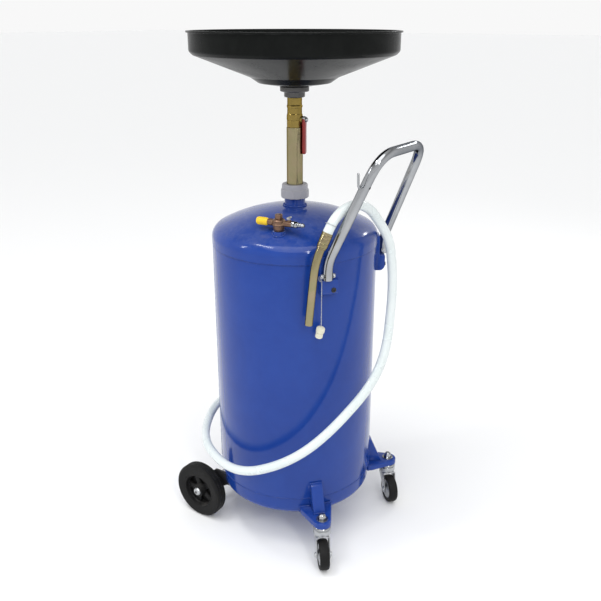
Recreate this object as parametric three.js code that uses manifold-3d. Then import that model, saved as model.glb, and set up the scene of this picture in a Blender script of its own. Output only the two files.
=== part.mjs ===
// Mobile waste-oil drainer: a pressure tank on wheels with a catch bowl on a sliding mast.
// Millimetres. +X is the front, where the handle and the two swivel casters are, +Y is the left side
// and +Z is up. The floor is z = 0 and the origin is the middle of the footprint.

import * as THREE from 'three';
import { mergeVertices } from 'three/addons/utils/BufferGeometryUtils.js';
import Module from 'manifold-3d';

const wasm = await Module();
wasm.setup();

// ---- driving dimensions ----

const GAP = 0.3; // left between pieces that touch
const AXIS_X = -19.5; // the tank's axis, behind the middle of the footprint

const tank = {
  radius: 200,
  wall: 1.6,
  bodyLow: 147,
  bodyHigh: 774,
  skirtRadius: 202,
  skirtLow: 760,
  headWall: 1.7,
  crownRadius: 400,
  crownTop: 849,
  knuckle: 30,
  bottom: 98,
  bottomSkirtHigh: 166,
  bottomKnuckle: 20,
  sides: 32,
};

const mast = {
  tubeRadius: 19,
  tubeBore: 17,
  low: 300,
  high: 1033,
  sleeveRadius: 20.2,
  sleeveBore: 19.3,
  socketRadius: 25,
  socketBore: 20.5,
  socketLow: 792,
  socketHigh: 868,
  threadRadius: 23,
  threadHigh: 889,
  nutRadius: 33.5,
  nutUpperRadius: 31,
  nutHigh: 901,
  stopRadius: 23.5,
  stopThickness: 12,
};

const valve = {
  azimuth: 15, // of the stem, in degrees from +X
  high: 1101,
  radius: 18.5,
  neckRadius: 16.5,
  bore: 10,
  ballRadius: 14.8,
  ballSeat: 15.5,
  ballHeight: 1051,
  stemRadius: 5,
  leverInner: 20.3,
  leverThickness: 7,
  leverWidth: 16,
  leverLength: 80,
};

const bowl = {
  low: 1125,
  rimHigh: 1244.6,
  rimRadius: 241,
  bandRadius: 236.4,
  bandLow: 1202,
  sumpRadius: 83,
  sumpHigh: 1132.6,
  coneRadius: 102.3,
  coneLow: 1145.6,
  wall: 1.6,
  drain: 12,
};

const handle = {
  radius: 11,
  bore: 9.5,
  footX: 177,
  footY: 127,
  footZ: 728,
  kneeZ: 768,
  topX: 283,
  topY: 100,
  topZ: 1009,
  cornerRadius: 56,
  kneeRadius: 22,
};

const caster = {
  reach: 258, // of the swivel axis from the tank's axis
  azimuth: 40.5,
  plateTop: 123,
  plateThickness: 4,
  skirt: 14,
  noseRadius: 22.5,
  rootHalfWidth: 40,
  wheelRadius: 37.5,
  wheelWidth: 25,
  trail: 25,
  rightTrailAzimuth: -49,
  leftTrailAzimuth: -41,
};

const rear = {
  axleX: -180,
  wheelRadius: 75,
  wheelWidth: 33,
  track: 188.5, // of a wheel's middle from the centre line
  axleRadius: 8,
  cheekY: 160,
  cheekThickness: 6,
};

const air = {
  x: 55.4,
  y: -141.9,
  base: 819,
  armHeight: 843,
  armAzimuth: 9,
};

const outlet = {
  azimuth: 158,
  height: 250,
  elbowReach: 238,
  tailAzimuth: 251,
  tail: 28,
};

const hose = {
  radius: 11,
  steps: 34,
  // From the elbow behind the tank, round the front, up past the far leg of the handle and over it.
  route: [
    [-232, 61, 250], [-246, 14, 250], [-243, -35, 249], [-227, -81, 247], [-205, -125, 242],
    [-177, -165, 236], [-141, -198, 233], [-98, -223, 232], [-53, -241, 232], [-5, -252, 237],
    [42, -252, 249], [86, -242, 268], [126, -224, 290], [161, -201, 316], [190, -176, 346],
    [215, -148, 379], [236, -120, 413], [255, -91, 448], [269, -63, 486], [275, -37, 527],
    [274, -15, 571], [269, 2, 617], [264, 17, 663], [258, 26, 711], [251, 29, 760], [248, 28, 780],
    [244, 23, 800], [239, 15, 818], [234, 4, 835], [230, -9, 851], [227, -22, 867], [223, -38, 880],
    [218, -56, 889], [213, -75, 893], [207, -95, 892], [202, -113, 885], [196, -129, 873],
    [191, -141, 856], [187, -149, 837],
  ],
};

const nozzle = {
  radius: 9,
  bore: 7.6,
  ferruleLength: 28,
  ferruleRadius: 12.4,
  bends: [[164, -171, 704], [157, -172, 631]],
};

// ---- materials ----

const finish = (color, roughness, metalness) => (
  new THREE.MeshStandardMaterial({ color, roughness, metalness })
);
const bluePaint = finish(0x2c4a96, 0.3, 0);
const blackGloss = finish(0x1c1e1e, 0.25, 0);
const chrome = finish(0xc8ccd0, 0.15, 1);
const zinc = finish(0xb0b2b4, 0.35, 1);
const yellowZinc = finish(0xb5a878, 0.35, 1);
const brass = finish(0xa08a48, 0.35, 1);
const bronze = finish(0x9a7560, 0.4, 1);
const castGrey = finish(0x9a9aa2, 0.5, 0.6);
const darkSteel = finish(0x3c3c40, 0.5, 0.8);
const rubber = finish(0x1b1b1c, 0.8, 0);
const blackPlastic = finish(0x202022, 0.5, 0);
const redVinyl = finish(0x9c1412, 0.45, 0);
const yellowPlastic = finish(0xf5d714, 0.4, 0);
const whiteNylon = finish(0xe1e1cd, 0.5, 0);
const clearHose = finish(0xe1ebeb, 0.35, 0);

// ---- shape helpers ----

// Merges shared vertices, drops empty triangles and turns the faces outwards.
function closed(source) {
  const geometry = source.clone();
  geometry.deleteAttribute('normal');
  geometry.deleteAttribute('uv');
  const merged = mergeVertices(geometry, 1e-4);
  const points = merged.attributes.position;
  const [a, b, c] = [new THREE.Vector3(), new THREE.Vector3(), new THREE.Vector3()];
  const kept = [];
  let volume = 0;
  for (let i = 0; i < merged.index.count; i += 3) {
    const corner = [0, 1, 2].map((k) => merged.index.getX(i + k));
    if (new Set(corner).size < 3) continue;
    kept.push(corner);
    a.fromBufferAttribute(points, corner[0]);
    b.fromBufferAttribute(points, corner[1]);
    c.fromBufferAttribute(points, corner[2]);
    volume += a.dot(b.cross(c));
  }
  merged.setIndex(kept.map((corner) => (volume < 0 ? corner.reverse() : corner)).flat());
  return merged;
}

function toSolid(geometry) {
  const mesh = closed(geometry);
  return new wasm.Manifold(new wasm.Mesh({
    numProp: 3,
    vertProperties: new Float32Array(mesh.attributes.position.array),
    triVerts: new Uint32Array(mesh.index.array),
  }));
}

function toGeometry(solid) {
  const mesh = solid.getMesh();
  const geometry = new THREE.BufferGeometry();
  geometry.setAttribute('position', new THREE.BufferAttribute(new Float32Array(mesh.vertProperties), 3));
  geometry.setIndex(new THREE.BufferAttribute(new Uint32Array(mesh.triVerts), 1));
  return geometry;
}

const cut = (base, ...tools) => (
  toGeometry(tools.reduce((left, tool) => left.subtract(toSolid(tool)), toSolid(base)))
);
const join = (base, ...others) => (
  toGeometry(others.reduce((whole, other) => whole.add(toSolid(other)), toSolid(base)))
);

// A profile of [radius, height] points turned about Z. It starts and ends on the axis.
function turned(profile, sides) {
  const points = profile.map(([r, z]) => new THREE.Vector2(r, z));
  return closed(new THREE.LatheGeometry(points, sides).rotateX(Math.PI / 2));
}

// The same for a profile that runs round a hole and closes on itself.
const ring = (profile, sides) => turned([...profile, profile[0]], sides);

// A plain ring of rectangular section.
const collar = (outer, inner, low, high, sides) => (
  ring([[inner, low], [outer, low], [outer, high], [inner, high]], sides)
);

// A round or many-sided bar along Z.
const bar = (radius, low, high, sides) => (
  turned([[0, low], [radius, low], [radius, high], [0, high]], sides)
);

// Points on an arc, in degrees.
function arc(centreR, centreZ, radius, from, to, steps) {
  return Array.from({ length: steps + 1 }, (_, i) => {
    const angle = THREE.MathUtils.degToRad(from + ((to - from) * i) / steps);
    return [centreR + radius * Math.cos(angle), centreZ + radius * Math.sin(angle)];
  });
}

// A flat outline of [x, y] points, drawn out along Z from low to high.
function plate(outline, low, high) {
  const shape = new THREE.Shape(outline.map(([x, y]) => new THREE.Vector2(x, y)));
  const body = new THREE.ExtrudeGeometry(shape, { depth: high - low, bevelEnabled: false });
  return closed(body.translate(0, 0, low));
}

// A side view of [x, z] points, drawn out along Y to a width, on both sides of y = 0.
const sidePlate = (outline, width) => (
  plate(outline, -width / 2, width / 2).rotateX(Math.PI / 2)
);

// A path of straight runs with rounded corners; reach is how far a corner starts before its point.
function rounded(points, reach) {
  const at = points.map((p) => new THREE.Vector3(...p));
  const path = new THREE.CurvePath();
  let from = at[0];
  for (let i = 1; i < at.length - 1; i += 1) {
    const before = at[i].clone().add(at[i - 1].clone().sub(at[i]).setLength(reach[i - 1]));
    const after = at[i].clone().add(at[i + 1].clone().sub(at[i]).setLength(reach[i - 1]));
    path.add(new THREE.LineCurve3(from, before));
    path.add(new THREE.QuadraticBezierCurve3(before, at[i], after));
    from = after;
  }
  path.add(new THREE.LineCurve3(from, at[at.length - 1]));
  return path;
}

// A tube, or a rod where there is no bore, that follows a path.
function tubeAlong(path, radius, sides, steps, bore = 0) {
  const circle = (r) => Array.from({ length: sides }, (_, i) => {
    const angle = (2 * Math.PI * (i + 0.5)) / sides;
    return new THREE.Vector2(r * Math.cos(angle), r * Math.sin(angle));
  });
  const shape = new THREE.Shape(circle(radius));
  if (bore > 0) shape.holes.push(new THREE.Path(circle(bore)));
  return closed(new THREE.ExtrudeGeometry(shape, { steps, extrudePath: path }));
}

// ---- scene graph ----

const drainer = new THREE.Group();
const frame = new THREE.Group(); // everything is placed from the tank's axis
frame.position.x = AXIS_X;
drainer.add(frame);

function part(name, geometry, material, parent = frame) {
  const mesh = new THREE.Mesh(geometry, material);
  mesh.name = name;
  parent.add(mesh);
  return mesh;
}

function turnedGroup(azimuth, parent = frame) {
  const group = new THREE.Group();
  group.rotation.z = THREE.MathUtils.degToRad(azimuth);
  parent.add(group);
  return group;
}

const polar = (reach, azimuth) => {
  const angle = THREE.MathUtils.degToRad(azimuth);
  return [reach * Math.cos(angle), reach * Math.sin(angle)];
};

// ---- tank ----

const crownCentre = tank.crownTop - tank.crownRadius;
const knuckleR = tank.skirtRadius - tank.knuckle;
const crownEdge = Math.asin(knuckleR / (tank.crownRadius - tank.knuckle));
const tangentZ = crownCentre + (tank.crownRadius - tank.knuckle) * Math.cos(crownEdge);
const crownEdgeDeg = 90 - THREE.MathUtils.radToDeg(crownEdge);

// One side of the domed head, from the foot of its skirt to its middle hole.
function headSide(inset, hole) {
  const crown = tank.crownRadius - inset;
  const holeDeg = THREE.MathUtils.radToDeg(Math.acos(hole / crown));
  return [
    [tank.skirtRadius - inset, tank.skirtLow],
    ...arc(knuckleR, tangentZ, tank.knuckle - inset, 0, crownEdgeDeg, 3),
    ...arc(0, crownCentre, crown, crownEdgeDeg, holeDeg, 3).slice(1),
  ];
}

// The outside of the tank grown by a gap, for trimming what is welded on to it.
function tankEnvelope() {
  const grown = -GAP;
  const foot = tank.radius - tank.wall - GAP;
  return turned([
    [0, tank.bottom - GAP],
    ...arc(foot - tank.bottomKnuckle, tank.bottom + tank.bottomKnuckle, tank.bottomKnuckle + GAP, 270, 360, 3),
    [foot + GAP, tank.bodyLow - GAP],
    [tank.radius + GAP, tank.bodyLow - GAP],
    [tank.radius + GAP, tank.skirtLow - GAP],
    [tank.skirtRadius + GAP, tank.skirtLow - GAP],
    ...headSide(grown, 30).slice(1),
    [0, tank.crownTop + GAP],
  ], tank.sides);
}

const envelope = tankEnvelope();
const [outletX, outletY] = polar(1, outlet.azimuth);

function alongRadius(geometry, azimuth, height) {
  // A piece made along Z is laid on its side, pointing outwards at this azimuth.
  return geometry
    .clone()
    .rotateY(Math.PI / 2)
    .rotateZ(THREE.MathUtils.degToRad(azimuth))
    .translate(0, 0, height);
}

function buildTank() {
  const inner = tank.radius - tank.wall;
  const shell = collar(tank.radius, inner, tank.bodyLow, tank.bodyHigh, tank.sides);
  const outletHole = alongRadius(bar(13, 150, 220, 16), outlet.azimuth, outlet.height);
  part('tank_shell', cut(shell, outletHole), bluePaint);

  const headHole = mast.socketRadius + GAP;
  const outside = headSide(0, headHole);
  const inside = headSide(tank.headWall, headHole).reverse();
  const bungHole = bar(14.5, 780, 850, 16).translate(air.x, air.y, 0);
  part('top_head', cut(ring([...outside, ...inside], tank.sides), bungHole), bluePaint);

  const skirt = inner - GAP;
  const floorArc = (inset) => arc(
    skirt - tank.bottomKnuckle,
    tank.bottom + tank.bottomKnuckle,
    tank.bottomKnuckle - inset,
    270,
    360,
    3,
  );
  const bottomProfile = [
    [0, tank.bottom],
    ...floorArc(0),
    [skirt, tank.bottomSkirtHigh],
    [skirt - tank.wall, tank.bottomSkirtHigh],
    ...floorArc(tank.wall).reverse(),
    [0, tank.bottom + tank.wall],
  ];
  part('bottom_head', turned(bottomProfile, tank.sides), bluePaint);
}

// ---- mast, clamp nut, valve and bowl ----

function buildMast() {
  part('mast_socket', ring([
    [mast.socketBore, mast.socketLow],
    [mast.socketRadius, mast.socketLow],
    [mast.socketRadius, mast.socketHigh],
    [mast.threadRadius, mast.socketHigh],
    [mast.threadRadius, mast.threadHigh],
    [mast.socketBore, mast.threadHigh],
  ], 20), bluePaint);
  part('guide_sleeve', collar(
    mast.sleeveRadius, mast.sleeveBore, mast.socketLow, mast.threadHigh, 20,
  ), whiteNylon);
  const nutLow = mast.socketHigh + GAP;
  part('clamp_nut', ring([
    [mast.threadRadius + GAP, nutLow],
    [mast.nutRadius - 1.5, nutLow],
    [mast.nutRadius, nutLow + 2],
    [mast.nutRadius, mast.threadHigh - 1],
    [mast.nutUpperRadius, mast.threadHigh],
    [mast.nutUpperRadius, mast.nutHigh - 2],
    [mast.nutUpperRadius - 2, mast.nutHigh],
    [mast.tubeRadius + 0.6, mast.nutHigh],
    [mast.tubeRadius + 0.6, mast.threadHigh + GAP],
    [mast.threadRadius + GAP, mast.threadHigh + GAP],
  ], 20), castGrey);
  part('mast_tube', collar(mast.tubeRadius, mast.tubeBore, mast.low, mast.high, 20), yellowZinc);
  part('stop_ring', collar(
    mast.stopRadius, mast.tubeRadius + GAP, mast.low + 2, mast.low + 2 + mast.stopThickness, 20,
  ), zinc);
}

function buildValve() {
  const side = turnedGroup(valve.azimuth);
  const low = mast.high + GAP;
  const high = valve.high - GAP;
  const seatEdge = THREE.MathUtils.radToDeg(Math.acos(valve.bore / valve.ballSeat));
  const body = ring([
    [valve.bore, low],
    [valve.radius, low],
    [valve.radius + 1, low + 4],
    [valve.radius + 1, 1068],
    [valve.neckRadius, 1072],
    [valve.neckRadius, 1078],
    [valve.radius, 1081],
    [valve.neckRadius, 1084],
    [valve.neckRadius, high],
    [valve.bore, high],
    ...arc(0, valve.ballHeight, valve.ballSeat, seatEdge, -seatEdge, 4),
  ], 16);
  const boss = alongRadius(bar(8.5, 16.5, 20, 10), 0, valve.ballHeight);
  const stemHole = alongRadius(bar(valve.stemRadius + GAP, 12, 22, 10), 0, valve.ballHeight);
  part('valve_body', cut(join(body, boss), stemHole), brass, side);

  const sphere = closed(new THREE.SphereGeometry(valve.ballRadius, 14, 8).rotateX(Math.PI / 2));
  const stemEnd = valve.leverInner + valve.leverThickness + GAP;
  const ball = join(
    sphere.translate(0, 0, valve.ballHeight),
    alongRadius(bar(valve.stemRadius, 11, stemEnd + 4, 10), 0, valve.ballHeight),
    alongRadius(bar(7, stemEnd, stemEnd + 5, 6), 0, valve.ballHeight),
  );
  part('valve_ball', cut(ball, bar(valve.bore, 1030, 1070, 12)), chrome, side);

  const half = valve.leverWidth / 2;
  const tip = valve.leverLength - half;
  const outline = [
    ...arc(0, 0, half, 0, 180, 5),
    ...arc(0, -tip, half, 180, 360, 5),
  ];
  const inner = valve.leverInner;
  const lever = plate(outline, inner, inner + valve.leverThickness);
  const eye = bar(valve.stemRadius + GAP, 10, 40, 10);
  // Laid against the valve's side with its long way hanging down.
  const hung = cut(lever, eye).rotateZ(-Math.PI / 2).rotateY(Math.PI / 2);
  part('valve_lever', hung.rotateX(Math.PI).translate(0, 0, valve.ballHeight), redVinyl, side);
}

function buildBowl() {
  part('bowl_adapter', ring([
    [bowl.drain, valve.high],
    [24, valve.high],
    [24, valve.high + 12],
    [32, valve.high + 12.5],
    [33.5, valve.high + 14],
    [33.5, bowl.low - GAP],
    [bowl.drain, bowl.low - GAP],
  ], 20), darkSteel);

  const corner = 8;
  const coneRun = bowl.bandRadius - corner - bowl.coneRadius;
  const coneHigh = bowl.coneLow + coneRun * Math.tan(THREE.MathUtils.degToRad(21));
  const side = (inset) => [
    [bowl.drain, bowl.low + inset],
    [33, bowl.low + inset],
    [bowl.sumpRadius - inset / 2, bowl.sumpHigh + inset],
    [bowl.coneRadius - inset / 2, bowl.coneLow + inset],
    [bowl.bandRadius - corner, coneHigh + inset],
    [bowl.bandRadius - inset, bowl.bandLow + inset / 2],
  ];
  part('bowl', ring([
    ...side(0),
    [bowl.bandRadius, bowl.rimHigh - 4],
    [bowl.rimRadius, bowl.rimHigh - 4],
    [bowl.rimRadius, bowl.rimHigh],
    [bowl.bandRadius - bowl.wall, bowl.rimHigh],
    ...side(bowl.wall).reverse(),
  ], 32), blackGloss);

  const discLow = bowl.coneLow - 1.2;
  const disc = join(bar(95.5, discLow, discLow + 2, 24), bar(9, discLow + 1, discLow + 14, 8));
  const holes = [];
  for (const [reach, count] of [[32, 6], [62, 8]]) {
    for (let i = 0; i < count; i += 1) {
      const [x, y] = polar(reach, (360 * i) / count);
      holes.push(bar(7, discLow - 2, discLow + 4, 6).translate(x, y, 0));
    }
  }
  part('bowl_strainer', cut(disc, ...holes), zinc);
}

// ---- handle ----

function buildHandle() {
  const { footX, footY, footZ, kneeZ, topX, topY, topZ } = handle;
  const path = rounded([
    [footX, -footY, footZ],
    [footX, -footY, kneeZ],
    [topX, -topY, topZ],
    [topX, topY, topZ],
    [footX, footY, kneeZ],
    [footX, footY, footZ],
  ], [handle.kneeRadius, handle.cornerRadius, handle.cornerRadius, handle.kneeRadius]);
  const tube = tubeAlong(path, handle.radius, 8, 26, handle.bore);
  const footAzimuth = THREE.MathUtils.radToDeg(Math.atan2(footY, footX));
  const footReach = Math.hypot(footX, footY);
  const boltZ = footZ + 9;

  const cross = (geometry, side) => geometry
    .clone()
    .rotateX(Math.PI / 2)
    .translate(footReach, 0, boltZ)
    .rotateZ(THREE.MathUtils.degToRad(side * footAzimuth));
  const boltHoles = [-1, 1].map((side) => cross(bar(3.4, -30, 30, 8), side));
  part('handle_bar', cut(tube, ...boltHoles), chrome);

  for (const [word, side] of [['right', -1], ['left', 1]]) {
    // A flat behind the tube, and a thicker block below its end.
    const back = footReach - handle.radius - GAP;
    const front = 220;
    const blockTop = footZ - GAP;
    const outline = [
      [190, 689],
      [front - 8, 689],
      [front, 697],
      [front, blockTop],
      [back, blockTop],
      [back, 776],
      [190, 776],
    ];
    // It reaches further on the inner side, where its bolt to the tank is.
    const block = sidePlate(outline, 40)
      .translate(0, -side * 6, 0)
      .rotateZ(THREE.MathUtils.degToRad(side * footAzimuth));
    part(`handle_bracket_${word}`, cut(block, envelope), bluePaint);

    const bolt = ring([
      [0, -17],
      [5, -17],
      [5, -12],
      [3, -12],
      [3, 12],
      [5.5, 12],
      [5.5, 17],
      [0, 17],
    ], 8);
    part(`handle_bolt_${word}`, cross(bolt, side), zinc);
  }

  const rise = (945 - kneeZ) / (topZ - kneeZ);
  const hookX = footX + (topX - footX) * rise;
  const hookY = -(footY + (topY - footY) * rise) - handle.radius - 1.2;
  const hookPath = rounded([
    [hookX, hookY, 945],
    [hookX, hookY - 18, 943],
    [hookX, hookY - 20, 974],
  ], [10]);
  part('hose_hook', tubeAlong(hookPath, 2.5, 6, 8), chrome);
}

// ---- casters ----

function buildCaster(word, side, trailAzimuth) {
  const arm = turnedGroup(side * caster.azimuth);
  const armAngle = THREE.MathUtils.degToRad(side * caster.azimuth);
  const { reach, plateTop, noseRadius, rootHalfWidth } = caster;
  const under = plateTop - caster.plateThickness;

  const outline = (inset) => [
    [150, -rootHalfWidth + inset],
    [206, -rootHalfWidth + inset],
    ...arc(reach, 0, noseRadius - inset, -70, 70, 5),
    [206, rootHalfWidth - inset],
    [150, rootHalfWidth - inset],
  ];
  const trimmed = (geometry) => cut(geometry, envelope.clone().rotateZ(-armAngle));
  const pressing = cut(
    plate(outline(0), plateTop - caster.skirt, plateTop),
    plate(outline(4), plateTop - caster.skirt - 5, under),
    bar(5.4, 90, 130, 10).translate(reach, 0, 0),
  );
  part(`caster_plate_${word}`, trimmed(pressing), bluePaint, arm);

  const low = plateTop + GAP;
  const wedge = (inset) => [
    [190, low - inset],
    [236 - 2 * inset, low - inset],
    [236 - 2 * inset, low + 4 - inset],
    [208 - 1.4 * inset, 189 - 1.4 * inset],
    [190, 189 - 1.4 * inset],
  ];
  const gusset = cut(sidePlate(wedge(0), 30), sidePlate(wedge(3), 24));
  part(`caster_gusset_${word}`, trimmed(gusset), bluePaint, arm);

  const swivel = new THREE.Group();
  swivel.position.x = reach;
  arm.add(swivel);
  part(`caster_kingpin_${word}`, turned([
    [0, 79],
    [8, 79],
    [8, 83.7],
    [5, 83.7],
    [5, 99],
    [21, 99],
    [21, 107],
    [14, 109],
    [14, under - GAP],
    [5, under - GAP],
    [5, 133],
    [0, 133],
  ], 12), zinc, swivel);
  part(`acorn_nut_${word}`, turned([
    [5.3, low],
    [14.5, low],
    [14.5, low + 2.2],
    [10.5, low + 2.2],
    [10.5, low + 9],
    [8, low + 13],
    [4, low + 16],
    [0, low + 16.6],
    [0, 133.4],
    [5.3, 133.4],
    [5.3, low],
  ], 10), chrome, swivel);

  const trailing = turnedGroup(trailAzimuth - side * caster.azimuth, swivel);
  const { wheelRadius, wheelWidth, trail } = caster;
  const legOutline = [
    [-13, 84],
    [-13, 79],
    ...arc(trail, wheelRadius, 10, 200, 380, 4),
    [20, 79],
    [20, 84],
  ];
  const leg = (offset) => sidePlate(legOutline, 2.5).translate(0, offset, 0);
  const legAt = wheelWidth / 2 + 3.75;
  const crown = plate([
    ...arc(0, 0, 20, 100, 260, 5),
    [20, -17.5],
    [20, 17.5],
  ], 80.5, 84.5);
  const cup = collar(20.5, 5.3, 84, 98.7, 12);
  const axleHole = bar(4.3, -25, 25, 8).rotateX(Math.PI / 2).translate(trail, 0, wheelRadius);
  const pinHole = join(bar(8.8, 70, 84, 12), bar(5.3, 70, 90, 12));
  const fork = cut(join(crown, cup, leg(legAt), leg(-legAt)), axleHole, pinHole);
  part(`caster_fork_${word}`, fork, zinc, trailing);

  const hub = new THREE.Group();
  hub.position.set(trail, 0, wheelRadius);
  hub.rotation.x = Math.PI / 2; // the wheel is turned about its own Z
  trailing.add(hub);
  const outer = legAt + 1.25 + GAP;
  part(`caster_axle_${word}`, turned([
    [0, -outer - 4],
    [4.5, -outer - 4],
    [7, -outer - 2],
    [7, -outer],
    [4, -outer],
    [4, outer],
    [7, outer],
    [7, outer + 2],
    [4.5, outer + 4],
    [0, outer + 4],
  ], 8), zinc, hub);
  const half = wheelWidth / 2;
  part(`caster_tyre_${word}`, ring([
    [26, -half + 1],
    [33, -half],
    [wheelRadius - 1, -half + 4],
    [wheelRadius, 0],
    [wheelRadius - 1, half - 4],
    [33, half],
    [26, half - 1],
  ], 20), rubber, hub);
  part(`caster_hub_${word}`, ring([
    [4.3, -legAt + 1.6],
    [10, -legAt + 1.6],
    [12, -half + 3],
    [25.3, -half + 2],
    [25.3, half - 2],
    [12, half - 3],
    [10, legAt - 1.6],
    [4.3, legAt - 1.6],
  ], 16), chrome, hub);
}

// ---- rear axle and wheels ----

function buildRear() {
  const { axleX, axleRadius, wheelRadius, wheelWidth, track } = rear;
  const axleEnd = track + wheelWidth / 2 + 2;
  const lie = (geometry) => geometry.clone().rotateX(Math.PI / 2).translate(axleX, 0, wheelRadius);
  part('rear_axle', lie(bar(axleRadius, -axleEnd, axleEnd, 16)), zinc);

  const cheekOutline = [
    ...arc(axleX, wheelRadius, 20, 150, 290, 6),
    [-112, 98],
    [-70, 104],
    [-70, 134],
    [-150, 134],
  ];
  for (const [word, side] of [['right', -1], ['left', 1]]) {
    const cheek = sidePlate(cheekOutline, rear.cheekThickness).translate(0, side * rear.cheekY, 0);
    const hole = lie(bar(axleRadius + GAP, -200, 200, 16));
    part(`axle_cheek_${word}`, cut(cheek, envelope, hole), blackPlastic);

    const wheel = new THREE.Group();
    wheel.position.set(axleX, side * track, wheelRadius);
    wheel.rotation.x = (-side * Math.PI) / 2; // its own Z points outwards
    frame.add(wheel);
    const half = wheelWidth / 2;
    part(`rear_tyre_${word}`, ring([
      [48, -half + 2],
      [66, -half],
      [wheelRadius - 2, -half + 4],
      [wheelRadius, 0],
      [wheelRadius - 2, half - 4],
      [66, half],
      [48, half - 2],
    ], 24), rubber, wheel);
    part(`rear_hub_${word}`, ring([
      [axleRadius + GAP, -half],
      [16, -half],
      [18, -4],
      [44, -6],
      [47.2, -half + 3],
      [47.2, half - 3],
      [44, 5],
      [20, 3],
      [16, half + 1],
      [axleRadius + GAP, half + 1],
    ], 18), blackPlastic, wheel);
    const capLow = half + 1 + GAP;
    part(`hub_cap_${word}`, ring([
      [axleRadius + GAP, capLow],
      [11, capLow],
      [11, capLow + 3],
      [8, capLow + 5.5],
      [0.001, capLow + 6.5],
      [0.001, half + 2 + GAP],
      [axleRadius + GAP, half + 2 + GAP],
    ], 12), zinc, wheel);
  }
}

// ---- compressed-air fitting on the head ----

function buildAirFitting() {
  const fitting = new THREE.Group();
  fitting.position.set(air.x, air.y, 0);
  frame.add(fitting);
  const bungHigh = air.base + 5;
  part('air_bung', collar(13.5, 7.3, 808, bungHigh, 12), bluePaint, fitting);

  const arms = turnedGroup(air.armAzimuth, fitting);
  const arm = air.armHeight;
  const stack = ring([
    [4, 812],
    [7, 812],
    [7, bungHigh + GAP],
    [13, bungHigh + GAP],
    [13, arm - 6],
    [15, arm - 3],
    [15, arm + 5],
    [11, arm + 9],
    [8, arm + 9],
    [8, arm + 20],
    [4, arm + 20],
  ], 10);
  const leftArm = alongRadius(bar(7, 0, 26, 8), 180, arm);
  const leftSpigot = alongRadius(bar(4.5, 20, 38, 8), 180, arm);
  const rightArm = alongRadius(bar(6.5, 0, 40, 8), 0, arm);
  const stemSocket = bar(5, arm, arm + 9, 8).translate(26, 0, 0);
  part('air_manifold', join(stack, leftArm, leftSpigot, rightArm, stemSocket), bronze, arms);

  const knob = turned([
    [0, 0],
    [8, 0],
    [9, 2],
    [9, 24],
    [7.5, 27.5],
    [4.8, 27.5],
    [4.8, 14],
    [0, 14],
  ], 12);
  part('vent_knob', alongRadius(knob.translate(0, 0, -54.3), 0, arm), yellowPlastic, arms);
  part('air_plug', alongRadius(ring([
    [2, 40.3],
    [7.5, 40.3],
    [7.5, 47],
    [4.5, 48],
    [4.5, 56],
    [5.5, 58],
    [3.5, 63],
    [2, 63],
  ], 10), 0, arm), chrome, arms);
  const wing = plate([[-3, -9], [3, -9], [3, 9], [-3, 9]], arm + 12, arm + 16);
  const cockStem = bar(2.5, arm + 9 + GAP, arm + 13, 8);
  part('air_cock', join(wing, cockStem).translate(26, 0, 0), zinc, arms);
}

// ---- discharge side: pick-up pipe, elbow, clamp, hose and nozzle ----

function buildDischarge() {
  const { azimuth, height, elbowReach, tailAzimuth, tail } = outlet;
  const elbowX = elbowReach * outletX;
  const elbowY = elbowReach * outletY;
  const laid = (geometry) => (
    alongRadius(geometry, tailAzimuth, height).translate(elbowX, elbowY, 0)
  );
  const elbow = join(
    alongRadius(bar(11, 186, elbowReach, 12), azimuth, height),
    alongRadius(bar(17, 202, 214, 6), azimuth, height),
    closed(new THREE.SphereGeometry(13, 10, 6)).translate(elbowX, elbowY, height),
    laid(bar(10.5, 0, tail - 1, 12)),
  );
  part('discharge_elbow', elbow, brass);

  const pipe = rounded([
    [185.4 * outletX, 185.4 * outletY, height],
    [165 * outletX, 165 * outletY, height],
    [150 * outletX, 150 * outletY, 108],
  ], [14]);
  part('pickup_pipe', tubeAlong(pipe, 10, 8, 8, 8), zinc);
  const clampAt = tail + 5;
  part('hose_clamp', laid(collar(hose.radius + 3.6, hose.radius + 1.8, clampAt, clampAt + 9, 12)), chrome);

  const route = new THREE.CatmullRomCurve3(hose.route.map((p) => new THREE.Vector3(...p)));
  part('discharge_hose', tubeAlong(route, hose.radius, 8, hose.steps), clearHose);

  // The ferrule carries on from the hose's last run, and the nozzle from the ferrule.
  const end = route.getPointAt(1);
  const onward = route.getTangentAt(1);
  const ferrulePath = new THREE.LineCurve3(
    end.clone().addScaledVector(onward, GAP),
    end.clone().addScaledVector(onward, nozzle.ferruleLength),
  );
  part('hose_ferrule', tubeAlong(ferrulePath, nozzle.ferruleRadius, 12, 1), yellowZinc);
  const start = end.clone().addScaledVector(onward, nozzle.ferruleLength + GAP);
  const lead = start.clone().addScaledVector(onward, 34);
  const spout = rounded([start.toArray(), lead.toArray(), ...nozzle.bends], [30, 24]);
  part('drain_nozzle', tubeAlong(spout, nozzle.radius, 8, 14, nozzle.bore), yellowZinc);

  const chainX = 171;
  const chainY = -142;
  const links = new THREE.LineCurve3(
    new THREE.Vector3(chainX, chainY, 727),
    new THREE.Vector3(chainX, chainY, 620),
  );
  part('plug_chain', tubeAlong(links, 1.4, 6, 4), zinc);
  const cap = turned([
    [0, -29],
    [8, -29],
    [8, -15.5],
    [10.3, -14.6],
    [10.3, -6.8],
    [6, -6],
    [4.4, 0],
    [0, 0],
  ], 10);
  cap.rotateY(THREE.MathUtils.degToRad(14)).translate(chainX, chainY, 619);
  part('nozzle_plug', cap, whiteNylon);
}

buildTank();
buildMast();
buildValve();
buildBowl();
buildHandle();
buildCaster('right', -1, caster.rightTrailAzimuth);
buildCaster('left', 1, caster.leftTrailAzimuth);
buildRear();
buildAirFitting();
buildDischarge();

export default drainer;
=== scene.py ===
import math

import bmesh
import bpy
from mathutils import Matrix, Vector


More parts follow.
